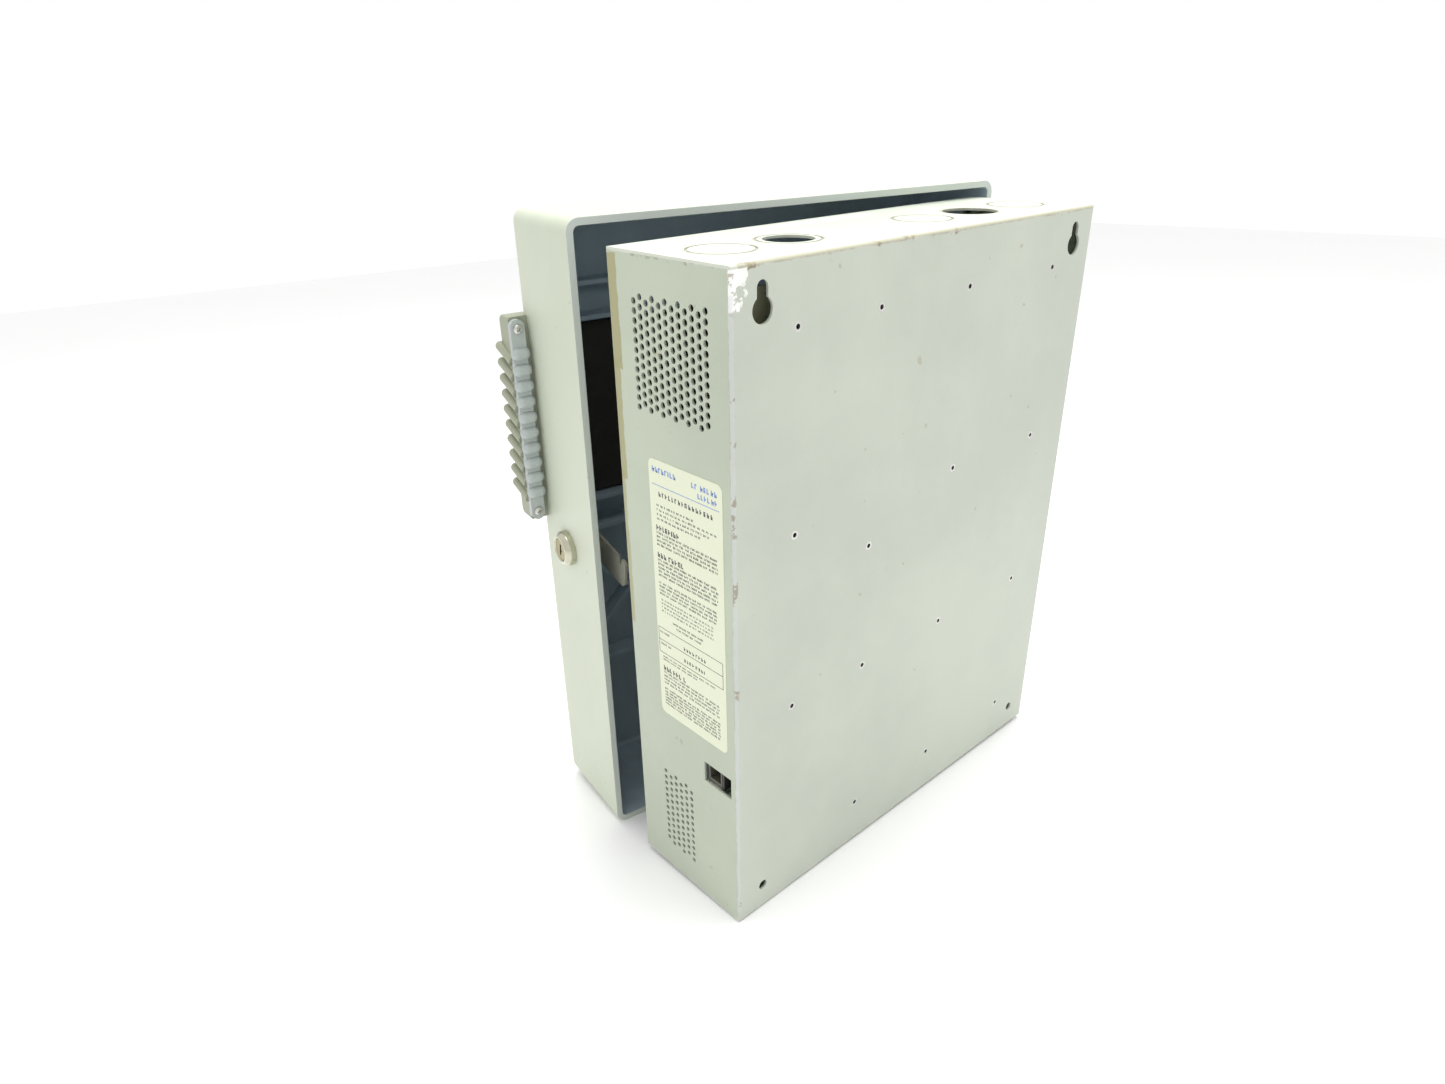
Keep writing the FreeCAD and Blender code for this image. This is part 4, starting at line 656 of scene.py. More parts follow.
@dataclass(frozen=True)
class CoverPlastic:
    """The moulded cover: cream outside, blue grey inside with painted shade towards the bottom, and a paler
    rim.
    """

    name: str = "cover_plastic"
    outside: Colour = (0.55, 0.59, 0.475)
    lining: Colour = (0.37, 0.465, 0.53)
    lining_shaded_low: Colour = (0.34, 0.42, 0.475)
    rim: Colour = (0.47, 0.525, 0.53)
    dirt: Colour = (0.40, 0.38, 0.28)
    rim_plane: float = -0.026
    open_end: float = 0.3
    mid_round: float = 0.0054
    reach_x: Tuple[float, float] = (-0.0028, 0.3332)
    reach_z: Tuple[float, float] = (-0.2099, 0.2141)
    front: float = -0.106
    wall: float = 0.0042

    def _lined(self, shade: Shade, vector: Socket) -> Socket:
        """Return a mask that is 1 inside the middle of the walls, and so on every inner face."""
        deep = 0.5 * self.wall
        low = Vector((self.reach_x[0] + deep, self.front + deep, self.reach_z[0] + deep))
        high = Vector((self.reach_x[1] - deep, self.open_end, self.reach_z[1] - deep))
        away = shade.past_rounded_box((low + high) / 2.0, (high - low) / 2.0, self.mid_round, vector)
        return shade.band(away, 0.00015, -0.00015)

    def material(self) -> bpy.types.Material:
        """Return the cover's material."""
        shade = Shade(self.name, self.outside, 0.46)
        own = shade.moved(HINGE_AXIS, AJAR_ANGLE)
        place = shade.axes(own)
        lined = self._lined(shade, own)
        cloud = shade.noise(7.0, 5.0, 0.6)
        paint = shade.mix(shade.band(cloud, 0.3, 0.7), tuple(0.955 * part for part in self.outside),
                          tuple(min(1.0, 1.03 * part) for part in self.outside))
        specks = shade.band(shade.noise(110.0, 2.0, 0.5), 0.725, 0.75)
        paint = shade.mix(shade.math("MULTIPLY", specks, 0.45), paint, self.dirt)
        smear = shade.band(shade.noise(1.0, 4.0, 0.6, shade.stretched((30.0, 30.0, 8.0))), 0.6, 0.8)
        paint = shade.mix(shade.math("MULTIPLY", smear, 0.09), paint, self.dirt)
        patchy = shade.band(shade.noise(60.0, 4.0, 0.7), 0.46, 0.6)
        worn = shade.math("MULTIPLY", shade.edges(0.0012), patchy)
        paint = shade.mix(shade.math("MULTIPLY", worn, 0.45), paint, (0.86, 0.87, 0.82))
        # Painted shade: the lining darkens towards the bottom of the cover.
        height = shade.band(place[2], self.reach_z[0], self.reach_z[1])
        drab = shade.mix(height, self.lining_shaded_low, self.lining)
        brushed = shade.noise(1.0, 4.0, 0.6, shade.stretched((40.0, 40.0, 9.0)))
        drab = shade.mix(shade.math("MULTIPLY", shade.band(brushed, 0.4, 0.75), 0.35), drab,
                         tuple(1.25 * part for part in self.lining))
        facing_rear = shade.band(place[1], self.rim_plane - 0.0004, self.rim_plane - 0.0002)
        tone = shade.mix(facing_rear, shade.mix(lined, paint, drab), shade.mix(cloud, self.rim, paint))
        shade.set("Base Color", tone)
        shade.set("Roughness", shade.math("ADD", shade.math("MULTIPLY", brushed, 0.16), 0.36))
        shade.surface.inputs["Specular IOR Level"].default_value = 0.4
        grain = shade.noise(620.0, 3.0, 0.55)
        shade.bump(grain, 0.12, 0.0005, shade.softened(0.0006))
        return shade.material


# ---------------------------------------------------------------- every slot's finish
def grey(value: float) -> Colour:
    """Return a neutral grey."""
    return (value, value, value)


TAN = (0.335, 0.32, 0.165)
SCUFF = (0.88, 0.88, 0.85)
RUST = (0.20, 0.14, 0.07)
STAIN = (0.20, 0.17, 0.08)
GRIME = (0.38, 0.34, 0.22)
BEND_HIGHLIGHT = (0.60, 0.61, 0.64)
SIDE_MARKS = (
    Mark((0.1600, -0.0960, 0.140), (0.1630, -0.0876, 0.2010), TAN, 0.92, 0.0022, 0.0003, 55.0),
    Mark((0.1600, -0.0960, 0.075), (0.1630, -0.0898, 0.1450), TAN, 0.9, 0.0028, 0.0003, 55.0),
    Mark((0.1600, -0.0960, -0.020), (0.1630, -0.0918, 0.0800), TAN, 0.75, 0.0022, 0.0004, 60.0),
    Mark((0.1600, -0.0895, 0.060), (0.1630, -0.0874, 0.1990), STAIN, 0.6, 0.0026, 0.0003, 60.0, 220.0),
    Mark((0.1600, -0.0016, -0.190), (0.1630, 0.001, 0.2010), RUST, 0.6, 0.0012, 0.0003, 150.0, 210.0),
    Mark((0.1600, -0.0960, 0.2005), (0.1630, 0.001, 0.2035), RUST, 0.45, 0.0014, 0.0003, 150.0, 170.0),
)
REAR_MARKS = (
    Mark((0.1560, -0.003, 0.1830), (0.163, 0.001, 0.2050), SCUFF, 0.92, 0.0060, 0.0003, 150.0),
    Mark((0.1505, -0.003, 0.1940), (0.160, 0.001, 0.2050), SCUFF, 0.85, 0.0050, 0.0003, 170.0),
    Mark((0.1500, -0.003, 0.1780), (0.163, 0.001, 0.2050), SCUFF, 0.8, 0.0050, 0.0003, 200.0, 160.0),
    # Painted highlight: a pale strip down the rear vertical edge, standing in for light on the bend.
    Mark((0.1596, -0.003, -0.1950), (0.163, 0.001, 0.1900), BEND_HIGHLIGHT, 0.4, 0.0014, 0.0006, 110.0),
    Mark((0.1590, -0.003, -0.1900), (0.163, 0.001, 0.2040), RUST, 0.6, 0.0020, 0.0003, 150.0, 140.0),
    Mark((-0.1620, -0.003, 0.2000), (0.1560, 0.001, 0.2050), RUST, 0.75, 0.0022, 0.0003, 120.0, 150.0),
    Mark((-0.1620, -0.003, 0.2016), (0.1560, 0.001, 0.2050), GRIME, 0.6, 0.0014, 0.0004, 60.0),
    Mark((-0.1620, -0.0965, 0.2010), (0.163, -0.0945, 0.2050), GRIME, 0.5, 0.0016, 0.0004, 90.0, 90.0),
)
RING_RADIUS = 0.0185
RING_LINE = -0.043
RING_PLACES = (0.128, 0.080, -0.035, -0.084, -0.136)
TOP_RINGS = tuple(PunchedRing(x, RING_LINE, RING_RADIUS) for x in RING_PLACES)
TOP_MARKS = REAR_MARKS[-3:]
FINISHES: Dict[str, object] = {
    # Painted shade and light: the sides and the rear are one enamel; the sides' darker tone and the rear's
    # paler one stand in for how light falls on each face.
    "painted_steel": EnamelPaint("painted_steel", (0.447, 0.49, 0.392), marks=SIDE_MARKS),
    "rear_paint": EnamelPaint("rear_paint", (0.49, 0.525, 0.45), 0.46, marks=REAR_MARKS),
    "cover_plastic": CoverPlastic(),
    "label_film": PrintedFilm("label_film", (0.68, 0.715, 0.545), 0.32, ageing=0.16),
    "paper_strip": PrintedFilm("paper_strip", (0.86, 0.86, 0.82), 0.6, ageing=0.12),
    "zinc_steel": BareMetal("zinc_steel", Plating.ZINC, (0.60, 0.60, 0.57), 0.34),
    "cam_steel": BareMetal("cam_steel", Plating.ZINC, (0.46, 0.46, 0.37), 0.42, metallic=0.35),
    "lock_nickel": BareMetal("lock_nickel", Plating.NICKEL, (0.53, 0.52, 0.41), 0.22,
                             tarnish_amount=0.25, metallic=0.85),
    "plug_brass": BareMetal("plug_brass", Plating.BRASS, (0.33, 0.30, 0.175), 0.34, tarnish_amount=0.45),
    "earth_brass": BareMetal("earth_brass", Plating.BRASS, (0.62, 0.50, 0.22), 0.34),
    "contact_gold": BareMetal("contact_gold", Plating.GOLD, (0.80, 0.62, 0.25), 0.28, tarnish_amount=0.1),
    "cell_steel": BareMetal("cell_steel", Plating.NICKEL, (0.66, 0.66, 0.63), 0.28, tarnish_amount=0.08),
    "sink_aluminium": BareMetal("sink_aluminium", Plating.ANODISED, grey(0.035), 0.42),
    "transformer_steel": Laminations("transformer_steel", grey(0.075)),
    "board_laminate": BoardLaminate("board_laminate"),
    "coil_tape": Moulding("coil_tape", (0.42, 0.33, 0.10), 0.38, 300.0, 0.3, 0.2),
    "terminal_green": Moulding("terminal_green", (0.035, 0.20, 0.075), 0.45, dust=0.12),
    "silicon_black": Moulding("silicon_black", grey(0.016), 0.52, 1400.0, 0.3, 0.15, dust=0.08),
    "black_plastic": Moulding("black_plastic", (0.04, 0.038, 0.035), 0.42, 700.0, 0.25, 0.15, dust=0.02),
    "relay_plastic": Moulding("relay_plastic", (0.025, 0.055, 0.16), 0.35, dust=0.06),
    "can_sleeve": Moulding("can_sleeve", (0.02, 0.035, 0.10), 0.33, dust=0.06),
    "lamp_lens": Moulding("lamp_lens", (0.42, 0.03, 0.02), 0.12, relief=0.02),
    "block_taupe": Moulding("block_taupe", (0.315, 0.335, 0.245), 0.52, dust=0.06),
    "strip_grey": Moulding("strip_grey", (0.395, 0.435, 0.425), 0.36, 500.0, 0.12, 0.05),
    "fuse_glass": ClearTube("fuse_glass"),
}


OWN_FINISHES: Dict[str, object] = {
    # Painted light: the top flange gets a paler copy of the box's enamel, for the overhead lamp falling on
    # the top.
    "top_flange": EnamelPaint("top_paint_lit", (0.56, 0.60, 0.51), 0.46, marks=TOP_MARKS, rings=TOP_RINGS),
    "service_jack": Moulding("jack_plastic", (0.085, 0.085, 0.062), 0.45, 700.0, 0.25, 0.15),
    "jack_carrier": Moulding("jack_carrier", (0.028, 0.03, 0.026), 0.45, 700.0, 0.25, 0.15),
}


def dress_frame() -> Dict[str, bpy.types.Material]:
    """Give every frame node its slot's finish, or its own.

    Returns:
        The material made for each slot.
    """
    made = {name: finish.material() for name, finish in FINISHES.items()}
    slots = {part["node"]: part["material_slot"] for part in frame["record"]["subparts"]}
    for name, thing in frame["nodes"].items():
        material = OWN_FINISHES[name].material() if name in OWN_FINISHES else made[slots[name]]
        if not thing.material_slots:
            thing.data.materials.append(material)
        for slot in thing.material_slots:
            slot.material = material
        log.info("%s: %s", name, slots[name])
    return made


# ---------------------------------------------------------------- fine parts
def cover_direction(x: float, y: float, z: float) -> Vector:
    """Turn a direction of the cover's own axes into the frame's coordinates."""
    return COVER_FRAME.to_3x3() @ Vector((x, y, z))


def solids(node: str) -> List[List[Vector]]:
    """Return the corners of each separate solid in a frame node."""
    work = bmesh.new()
    work.from_mesh(frame["nodes"][node].data)
    bmesh.ops.remove_doubles(work, verts=work.verts, dist=1e-6)
    seen: set = set()
    found: List[List[Vector]] = []
    for start in work.verts:
        if start.index in seen:
            continue
        seen.add(start.index)
        stack, points = [start], []
        while stack:
            vert = stack.pop()
            points.append(vert.co.copy())
            for edge in vert.link_edges:
                other = edge.other_vert(vert)
                if other.index not in seen:
                    seen.add(other.index)
                    stack.append(other)
        found.append(points)
    work.free()
    return found


def span(points: Sequence[Vector]) -> Tuple[Vector, Vector]:
    """Return the lowest and the highest corner of the box round some points."""
    return (Vector([min(p[i] for p in points) for i in range(3)]),
            Vector([max(p[i] for p in points) for i in range(3)]))


@dataclass
class CrossHeadScrew:
    """Pan-head screws with a cross recess, in place of one node's plain ones."""

    node: str
    name: str
    body: str
    facing: Vector
    head_height: float
    recess_depth: float = 0.0012
    arm_width: float = 0.0009
    arm_share: float = 0.58
    floor_reach: float = 0.45
    floor_width: float = 0.6
    proud: float = 0.0004
    segments: int = 28
    shank_share: float = 0.48
    seed: int = 3

    def _measure(self) -> Tuple[float, float, List[Vector]]:
        """Return the head's radius, the screw's length and the middle of each head's top."""
        turn = self.facing.to_track_quat("Z", "Y").to_matrix()
        tops: List[Vector] = []
        radius = length = 0.0
        for points in solids(self.node):
            low, high = span([turn.transposed() @ point for point in points])
            radius, length = (high.x - low.x) / 2.0, high.z - low.z
            tops.append(turn @ Vector(((low.x + high.x) / 2.0, (low.y + high.y) / 2.0, high.z)))
        return radius, length, tops

    def _blank(self, radius: float, length: float) -> bpy.types.Object:
        """Return the turned screw, with the top of its head at the origin."""
        shank = self.shank_share * radius
        h = self.head_height
        profile = [(0.0, -length), (0.7 * shank, -length), (shank, -length + 0.4 * shank), (shank, -h),
                   (radius, -h), (radius, -0.72 * h), (0.96 * radius, -0.42 * h), (0.85 * radius, -0.2 * h),
                   (0.62 * radius, -0.06 * h), (0.34 * radius, 0.0), (0.0, 0.0)]
        turned = mesh_from(self.name + "_blank", lambda work: lathe(work, profile, self.segments))
        return new_object(self.name + "_blank", turned)

    def _recess(self, radius: float) -> bpy.types.Object:
        """Return the tapered cross that is cut from the head."""
        reach, half = self.arm_share * radius, self.arm_width / 2.0
        levels = ((self.floor_reach * reach, self.floor_width * half, -self.recess_depth),
                  (reach, half, self.proud))
        mesh = bpy.data.meshes.new(self.name + "_recess")
        work = bmesh.new()
        for turn in (0.0, math.pi / 2.0):
            corners = [(sx * long, sy * wide, up) for long, wide, up in levels
                       for sx, sy in ((-1, -1), (1, -1), (1, 1), (-1, 1))]
            spun = [work.verts.new(Matrix.Rotation(turn, 3, "Z") @ Vector(corner)) for corner in corners]
            for face in ((3, 2, 1, 0), (4, 5, 6, 7), (0, 1, 5, 4), (1, 2, 6, 5), (2, 3, 7, 6), (3, 0, 4, 7)):
                work.faces.new([spun[i] for i in face])
        bmesh.ops.recalc_face_normals(work, faces=work.faces)
        work.to_mesh(mesh)
        work.free()
        return new_object(self.name + "_recess", mesh)

    def build(self, materials: Dict[str, bpy.types.Material]) -> None:
        """Make the screws and let them stand for the node's own."""
        radius, length, tops = self._measure()
        blank, recess = self._blank(radius, length), self._recess(radius)
        carve = blank.modifiers.new("recess", "BOOLEAN")
        carve.object = recess
        carve.solver = "EXACT"
        carve.use_self = True
        bpy.context.view_layer.update()
        evaluated = blank.evaluated_get(bpy.context.evaluated_depsgraph_get())
        template = bpy.data.meshes.new_from_object(evaluated)
        bpy.data.objects.remove(blank)
        bpy.data.objects.remove(recess)
        shade_smooth(template, 34.0)
        template.materials.clear()
        template.materials.append(materials["zinc_steel"])
        draw = random.Random(self.seed)
        face_on = self.facing.to_track_quat("Z", "Y").to_matrix()
        spots = [(top, face_on @ Matrix.Rotation(draw.uniform(0.0, math.pi), 3, "Z")) for top in tops]
        piece = scatter(self.name, template, spots, materials["zinc_steel"])
        keep(piece, self.body, "zinc_steel", self.node)


class Ink(Enum):
    """The label's two printing colours."""

    BLACK = "black"
    BLUE = "blue"


@dataclass(frozen=True)
class PrintedRow:
    """One line of made-up print: strokes that only suggest words."""

    drop: float
    height: float
    start: float = 0.07
    end: float = 0.93
    word: Tuple[float, float] = (0.0022, 0.0062)
    gap: float = 0.0011
    ink: Ink = Ink.BLACK


@dataclass
class LabelPrint:
    """Rules, boxes and rows of strokes printed on the rating label; no lettering."""

    thickness: float = 0.00004
    rule: float = 0.0004
    letter_pitch: float = 0.86
    line_share: float = 0.27
    closed_letters: float = 0.55
    shortest_word: float = 0.0004
    seed: int = 11
    black: Colour = (0.07, 0.075, 0.07)
    blue: Colour = (0.17, 0.26, 0.56)

    def _rows(self) -> List[PrintedRow]:
        """Return the rows from the label's top downwards, as shares of its height."""
        heading = PrintedRow(0.243, 0.0032, 0.07, 0.42, (0.006, 0.010), 0.0008)
        caption = PrintedRow(0.652, 0.0012, 0.04, 0.20)
        entry = PrintedRow(0.668, 0.0022, 0.40, 0.72, (0.001, 0.0018), 0.0011)
        rows = [PrintedRow(0.035, 0.0032, 0.05, 0.40, (0.006, 0.009), 0.0008, Ink.BLUE),
                PrintedRow(0.037, 0.0030, 0.60, 0.95, (0.005, 0.009), 0.0014, Ink.BLUE),
                PrintedRow(0.066, 0.0030, 0.68, 0.95, (0.007, 0.010), 0.0014, Ink.BLUE),
                PrintedRow(0.118, 0.0028, 0.13, 0.87, (0.0012, 0.0019), 0.0013)]
        rows += [PrintedRow(0.160 + 0.0165 * i, 0.0013, 0.09, end, (0.0008, 0.0030), 0.0012)
                 for i, end in enumerate((0.62, 0.92, 0.82, 0.72))]
        rows += [heading]
        rows += self._paragraph(0.262, 0.0145, 4, 0.0014, 0.93)
        rows += [replace(heading, drop=0.345, end=0.47)]
        rows += self._paragraph(0.364, 0.0145, 5, 0.0014, 0.92)
        rows += self._paragraph(0.452, 0.0138, 4, 0.0013, 0.90)
        rows += [PrintedRow(0.517 + 0.0145 * i, 0.0011, 0.09, 0.84, (0.0008, 0.0024), 0.0010)
                 for i in range(4)]
        rows += [PrintedRow(0.590, 0.0012, 0.25, 0.70), PrintedRow(0.606, 0.0012, 0.30, 0.66)]
        rows += [caption, entry, replace(caption, drop=0.700), replace(entry, drop=0.716, end=0.70)]
        rows += [PrintedRow(0.752, 0.0010, 0.07, 0.85), PrintedRow(0.764, 0.0010, 0.07, 0.60)]
        rows += [replace(heading, drop=0.800)]
        rows += self._paragraph(0.819, 0.0145, 4, 0.0013, 0.90)
        rows += self._paragraph(0.889, 0.0130, 6, 0.0013, 0.91)
        return rows

    @staticmethod
    def _paragraph(drop: float, step: float, lines: int, height: float, end: float) -> List[PrintedRow]:
        """Return evenly spaced rows of one height that start at the left margin."""
        return [PrintedRow(drop + step * i, height, end=end) for i in range(lines)]

    def _word(self, draw: random.Random, start: float, end: float, z: float, tall: float,
              stroke: Callable[[float, float, float, float], None]) -> None:
        """Fill one word's length with upright and level strokes that spell nothing."""
        pitch = self.letter_pitch * tall
        line = self.line_share * tall
        at = start
        while at < end - 0.3 * pitch:
            wide = min(draw.uniform(0.62, 0.8) * pitch, end - at)
            level = draw.choice((-0.5, 0.0, 0.5))
            stroke(at, at + line, z, tall)
            stroke(at + line, at + wide, z + level * (tall - line), line)
            if draw.random() < self.closed_letters:
                stroke(at + wide - line, at + wide, z - 0.18 * tall, 0.64 * tall)
            at += pitch

    def _strokes(self, ink: Ink) -> List[Tuple[Vector, Vector]]:
        """Return the middle and size of each printed stroke of one colour."""
        low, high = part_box("rating_label")
        width, height = high.y - low.y, high.z - low.z
        draw = random.Random(self.seed)
        strokes: List[Tuple[Vector, Vector]] = []

        def stroke(start: float, end: float, z: float, tall: float) -> None:
            """Add one stroke between two places across the label."""
            middle = Vector((high.x + self.thickness / 2.0, (start + end) / 2.0, z))
            strokes.append((middle, Vector((self.thickness, end - start, tall))))

        for row in self._rows():
            z = high.z - row.drop * height
            at, stop = low.y + row.start * width, low.y + row.end * width
            while at < stop:
                long = min(draw.uniform(*row.word), stop - at)
                if row.ink is ink and long > self.shortest_word:
                    self._word(draw, at, at + long, z, row.height, stroke)
                at += long + row.gap
        end = high.y - 0.04 * width
        if ink is Ink.BLUE:
            stroke(low.y + 0.04 * width, end, high.z - 0.088 * height, self.rule)
        else:
            start = low.y + 0.02 * width
            for share in (0.635, 0.685, 0.737):
                stroke(start, end, high.z - share * height, self.rule)
            for across in (start, end):
                stroke(across - self.rule / 2.0, across + self.rule / 2.0,
                       high.z - 0.686 * height, 0.102 * height)
        return strokes

    def build(self) -> None:
        """Print both colours."""
        for ink, colour in ((Ink.BLACK, self.black), (Ink.BLUE, self.blue)):
            shade = Shade("label_ink_" + ink.value, colour, 0.45)
            worn = shade.band(shade.noise(420.0, 3.0, 0.6), 0.52, 0.72)
            paler = tuple(0.6 * part + 0.2 for part in colour)
            shade.set("Base Color", shade.mix(shade.math("MULTIPLY", worn, 0.6), colour, paler))
            piece = bricks("label_print_" + ink.value, self._strokes(ink), shade.material)
            keep(piece, "enclosure", "label_film")


def bricks(name: str, places: Sequence[Tuple[Vector, Vector]],
           material: bpy.types.Material) -> bpy.types.Object:
    """Make one piece from many small boxes, through Geometry Nodes.

    Args:
        name: the new piece's name.
        places: each box's middle and size, in the frame's coordinates.
        material: what every box is made of.

    Returns:
        One plain mesh piece.
    """
    points = bpy.data.meshes.new(name + "_points")
    points.from_pydata([middle for middle, _ in places], [], [])
    sizes = points.attributes.new("size", "FLOAT_VECTOR", "POINT")
    for item, (_, size) in zip(sizes.data, places):
        item.vector = size
    grower = Grower(name)
    unit = grower.input("Unit", 1.0)
    box = grower.add("GeometryNodeMeshCube")
    grower.tree.links.new(unit, box.inputs["Size"])
    stretch = grower.add("GeometryNodeInputNamedAttribute", Name="size")
    stretch.data_type = "FLOAT_VECTOR"
    placed = grower.add("GeometryNodeInstanceOnPoints", Points=grower.entry.outputs[0],
                        Instance=box.outputs["Mesh"], Scale=stretch.outputs[0])
    return grower.run(placed.outputs[0], material, points)


@dataclass(frozen=True)
class ResistorRow:
    """A row of resistors: the first one's X and Z, the step to the next, and how many."""

    first: Tuple[float, float]
    step: Tuple[float, float]
    count: int


@dataclass
class BoardStock:
    """The small parts soldered between the board's main ones, and its white printed outlines."""

    resistor_length: float = 0.0062
    resistor_radius: float = 0.00115
    lead_radius: float = 0.0003
    pitch: float = 0.00254
    outline_margin: float = 0.0012
    outline_width: float = 0.00025
    outline_thickness: float = 0.00003
    face: float = -0.0156
    rows: Tuple[ResistorRow, ...] = (
        ResistorRow((0.0985, 0.062), (0.0, 0.005), 17),
        ResistorRow((0.0985, -0.036), (0.0, 0.005), 12),
        ResistorRow((-0.0545, -0.036), (0.0, 0.009), 8),
        ResistorRow((-0.052, 0.0535), (0.012, 0.0), 13),
        ResistorRow((-0.052, -0.150), (0.0, 0.0055), 13),
    )
    chip_leg: Tuple[float, float, float] = (0.0005, 0.0022, 0.0011)
    regulator_leg: Tuple[float, float, float] = (0.0007, 0.0084, 0.0005)
    regulator_gap: float = 0.0009

    def _resistor_places(self) -> List[Vector]:
        """Return the middle of each resistor, which lies along X."""
        lift = self.face - self.resistor_radius - 0.0004
        return [Vector((row.first[0] + row.step[0] * i, lift, row.first[1] + row.step[1] * i))
                for row in self.rows for i in range(row.count)]

    def _outlined(self) -> List[Tuple[Vector, Vector]]:
        """Return the strokes of the printed outlines round the main parts."""
        strokes: List[Tuple[Vector, Vector]] = []
        w, thick = self.outline_width, self.outline_thickness
        y = self.face - thick / 2.0
        for node in ("chip_sockets", "driver_chips", "output_relays", "capacitors", "expansion_header",
                     "cell_holder", "terminal_strips_left", "terminal_strips_right", "status_lamps"):
            for points in solids(node):
                low, high = span(points)
                x0, x1 = low.x - self.outline_margin, high.x + self.outline_margin
                z0, z1 = low.z - self.outline_margin, high.z + self.outline_margin
                for x in (x0, x1):
                    strokes.append((Vector((x, y, (z0 + z1) / 2.0)), Vector((w, thick, z1 - z0))))
                for z in (z0, z1):
                    strokes.append((Vector(((x0 + x1) / 2.0, y, z)), Vector((x1 - x0, thick, w))))
        return strokes

    def _legs(self) -> List[Tuple[Vector, Vector]]:
        """Return the box of each leg of the driver chips and of the regulators."""
        legs: List[Tuple[Vector, Vector]] = []
        for points in solids("driver_chips"):
            low, high = span(points)
            count = int((high.z - low.z) / self.pitch)
            first = (low.z + high.z) / 2.0 - self.pitch * (count - 1) / 2.0
            wide, tall = self.chip_leg[0], self.chip_leg[1]
            for x in (low.x - wide / 2.0, high.x + wide / 2.0):
                legs += [(Vector((x, self.face - tall / 2.0, first + self.pitch * i)), Vector(self.chip_leg))
                         for i in range(count)]
        for points in solids("regulators"):
            middle = sum(p.x for p in points) / len(points)
            lift = self.face - self.regulator_leg[1] / 2.0
            level = span(points)[1].z + self.regulator_gap
            legs += [(Vector((middle + self.pitch * i, lift, level)), Vector(self.regulator_leg))
                     for i in (-1, 0, 1)]
        return legs

    def _resistor(self) -> bpy.types.Mesh:
        """Return the dog-bone body of one resistor, along Z."""
        r, half = self.resistor_radius, self.resistor_length / 2.0
        lower = [(0.0, -half), (0.55 * r, -half), (r, -0.86 * half), (r, -0.62 * half),
                 (0.84 * r, -0.48 * half)]
        profile = lower + [(radius, -height) for radius, height in reversed(lower)]
        mesh = mesh_from("resistor", lambda work: lathe(work, profile, 14))
        shade_smooth(mesh, 50.0)
        return mesh

    def build(self, materials: Dict[str, bpy.types.Material]) -> None:
        """Stock the board."""
        places = self._resistor_places()
        along_x = Vector((1.0, 0.0, 0.0)).to_track_quat("Z", "Y").to_matrix()
        body = Moulding("resistor_body", (0.45, 0.31, 0.16), 0.4, soften=0.0001, variation=0.2).material()
        bodies = scatter("resistors", self._resistor(), [(p, along_x) for p in places], body)
        keep(bodies, "enclosure", "board_laminate")
        band = Moulding("resistor_bands", (0.10, 0.035, 0.02), 0.4, soften=0.0001, variation=0.3).material()
        r, half = 0.92 * self.resistor_radius, 0.0003
        outline = [(0.0, -half), (r, -half), (r, half), (0.0, half)]
        ring = mesh_from("band", lambda work: lathe(work, outline, 14))
        shade_smooth(ring)
        spots = [(p + Vector((0.0011 * i, 0.0, 0.0)), along_x) for p in places for i in (-1, 0, 1)]
        keep(scatter("resistor_bands", ring, spots, band), "enclosure", "board_laminate")
        reach = self.resistor_length / 2.0 + 0.0016
        gauge = 2.0 * self.lead_radius
        leads = []
        for p in places:
            leads.append((p, Vector((2.0 * reach, gauge, gauge))))
            drop = abs(self.face - p.y) + self.lead_radius
            middle = (p.y + self.face) / 2.0
            leads += [(Vector((p.x + side * reach, middle, p.z)), Vector((gauge, drop, gauge)))
                      for side in (-1, 1)]
        wires = bricks("leads_and_legs", leads + self._legs(), materials["zinc_steel"])
        keep(wires, "enclosure", "zinc_steel")
        white = PrintedFilm("board_print", (0.72, 0.73, 0.68), 0.5, ageing=0.1).material()
        keep(bricks("board_print", self._outlined(), white), "enclosure", "board_laminate")


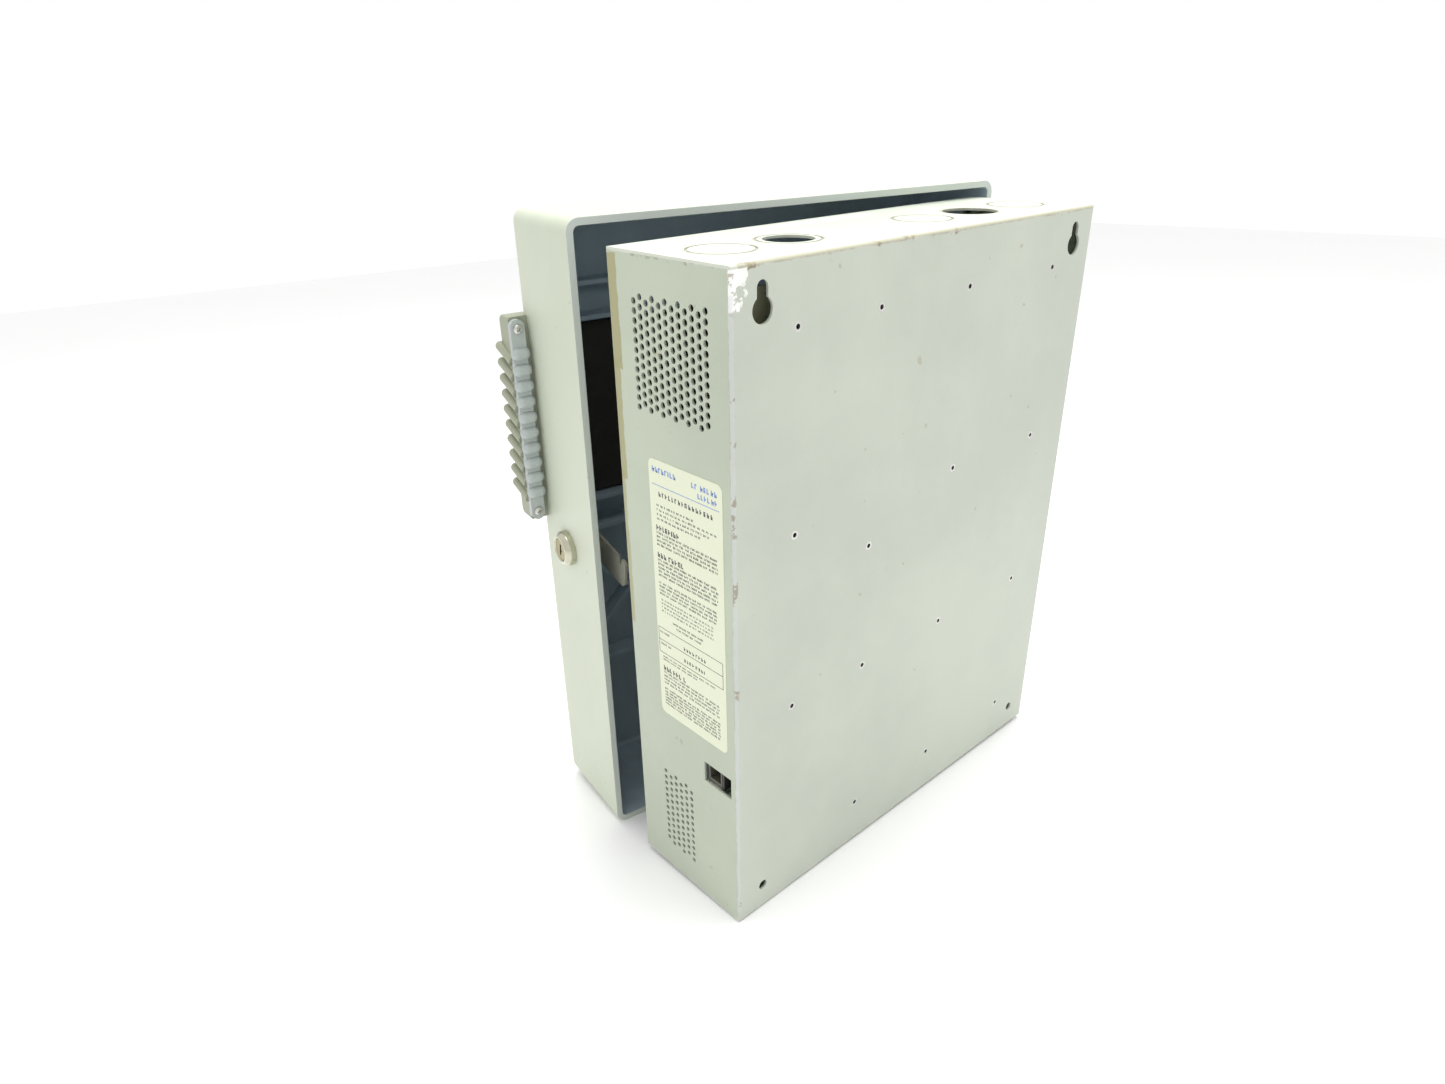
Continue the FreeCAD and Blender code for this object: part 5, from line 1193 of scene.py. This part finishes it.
# ---------------------------------------------------------------- studio
@dataclass
class Studio:
    """A pale floor, a bright surround and one large soft light."""

    floor_half: float = 4.0
    floor_tone: Colour = (0.93, 0.93, 0.925)
    surround: float = 1.0
    lamp_power: float = 27.0
    lamp_size: float = 1.6
    lamp_place: Tuple[float, float, float] = (-0.25, -0.25, 1.45)
    sensor: float = 36.0
    lens: float = 22.92
    eye: Tuple[float, float, float] = (0.44479, 0.31452, 0.27089)
    aim: Tuple[float, float, float] = (64.245, 1.090, 138.217)
    rest_points: Tuple[Tuple[float, float, float], ...] = (
        (-0.1716, -0.0856, -0.2099), (0.1610, -0.1324, -0.2099), (0.1613, 0.0, -0.2032))

    def floor(self) -> None:
        """Lay the floor under the cover's rim and the box's rear corner, on which the panel stands."""
        a, b, c = (Vector(point) for point in self.rest_points)
        normal = (b - a).cross(c - a).normalized()
        if normal.z < 0.0:
            normal.negate()
        middle = (a + b + c) / 3.0 - normal * 0.0005
        mesh = mesh_from("floor", lambda work: bmesh.ops.create_grid(
            work, x_segments=1, y_segments=1, size=self.floor_half,
            matrix=Matrix.Translation(middle) @ normal.to_track_quat("Z", "Y").to_matrix().to_4x4()))
        if mesh.polygons[0].normal.z < 0.0:
            mesh.flip_normals()
        shade = Shade("floor_sheet", self.floor_tone, 0.7)
        shade.set("Base Color", shade.mix(shade.noise(2.0), self.floor_tone, grey(0.95)))
        mesh.materials.append(shade.material)
        new_object("floor", mesh)

    def lights(self) -> None:
        """Set the surround and hang the soft light."""
        world = bpy.data.worlds.new("surround")
        world.use_nodes = True
        sky = world.node_tree.nodes["Background"]
        sky.inputs["Color"].default_value = (1.0, 1.0, 1.0, 1.0)
        sky.inputs["Strength"].default_value = self.surround
        bpy.context.scene.world = world
        lamp = bpy.data.lights.new("overhead", "AREA")
        lamp.shape = "SQUARE"
        lamp.size = self.lamp_size
        lamp.energy = self.lamp_power
        light = bpy.data.objects.new("overhead", lamp)
        light.location = self.lamp_place
        light.rotation_euler = (-light.location).to_track_quat("-Z", "Y").to_euler()
        bpy.context.scene.collection.objects.link(light)

    def camera(self) -> None:
        """Stand the camera behind and above the panel's lock side."""
        lens = bpy.data.cameras.new("view")
        lens.sensor_width = self.sensor
        lens.lens = self.lens
        lens.clip_start = 0.01
        eye = bpy.data.objects.new("view", lens)
        eye.location = self.eye
        eye.rotation_euler = Euler([math.radians(angle) for angle in self.aim], "XYZ")
        bpy.context.scene.collection.objects.link(eye)
        bpy.context.scene.camera = eye
        bpy.context.scene.view_settings.view_transform = "Standard"

    def build(self) -> None:
        """Make the whole studio."""
        self.floor()
        self.lights()
        self.camera()


def main() -> None:
    """Dress the frame, add the fine parts and set the studio."""
    logging.basicConfig(level=logging.INFO, format="%(name)s: %(message)s")
    made = dress_frame()
    forward = Vector((0.0, -1.0, 0.0))
    rearward, inward = cover_direction(0.0, 1.0, 0.0), cover_direction(-1.0, 0.0, 0.0)
    outward = cover_direction(1.0, 0.0, 0.0)
    for screw in (
        CrossHeadScrew("board_screws", "board_cross_screws", "enclosure", forward, 0.0023),
        CrossHeadScrew("grip_strip_screws", "strip_cross_screws", "cover", rearward, 0.0019),
        CrossHeadScrew("grip_mounting_screws", "grip_cross_screws", "cover", inward, 0.0016,
                       shank_share=0.72),
        CrossHeadScrew("hinge_strap_screws", "strap_cross_screws", "cover", outward, 0.0013),
        CrossHeadScrew("inner_panel_screws", "panel_cross_screws", "cover", rearward, 0.0019),
    ):
        screw.build(made)
    LabelPrint().build()
    BoardStock().build(made)
    Studio().build()


if __name__ == "__main__":
    main()
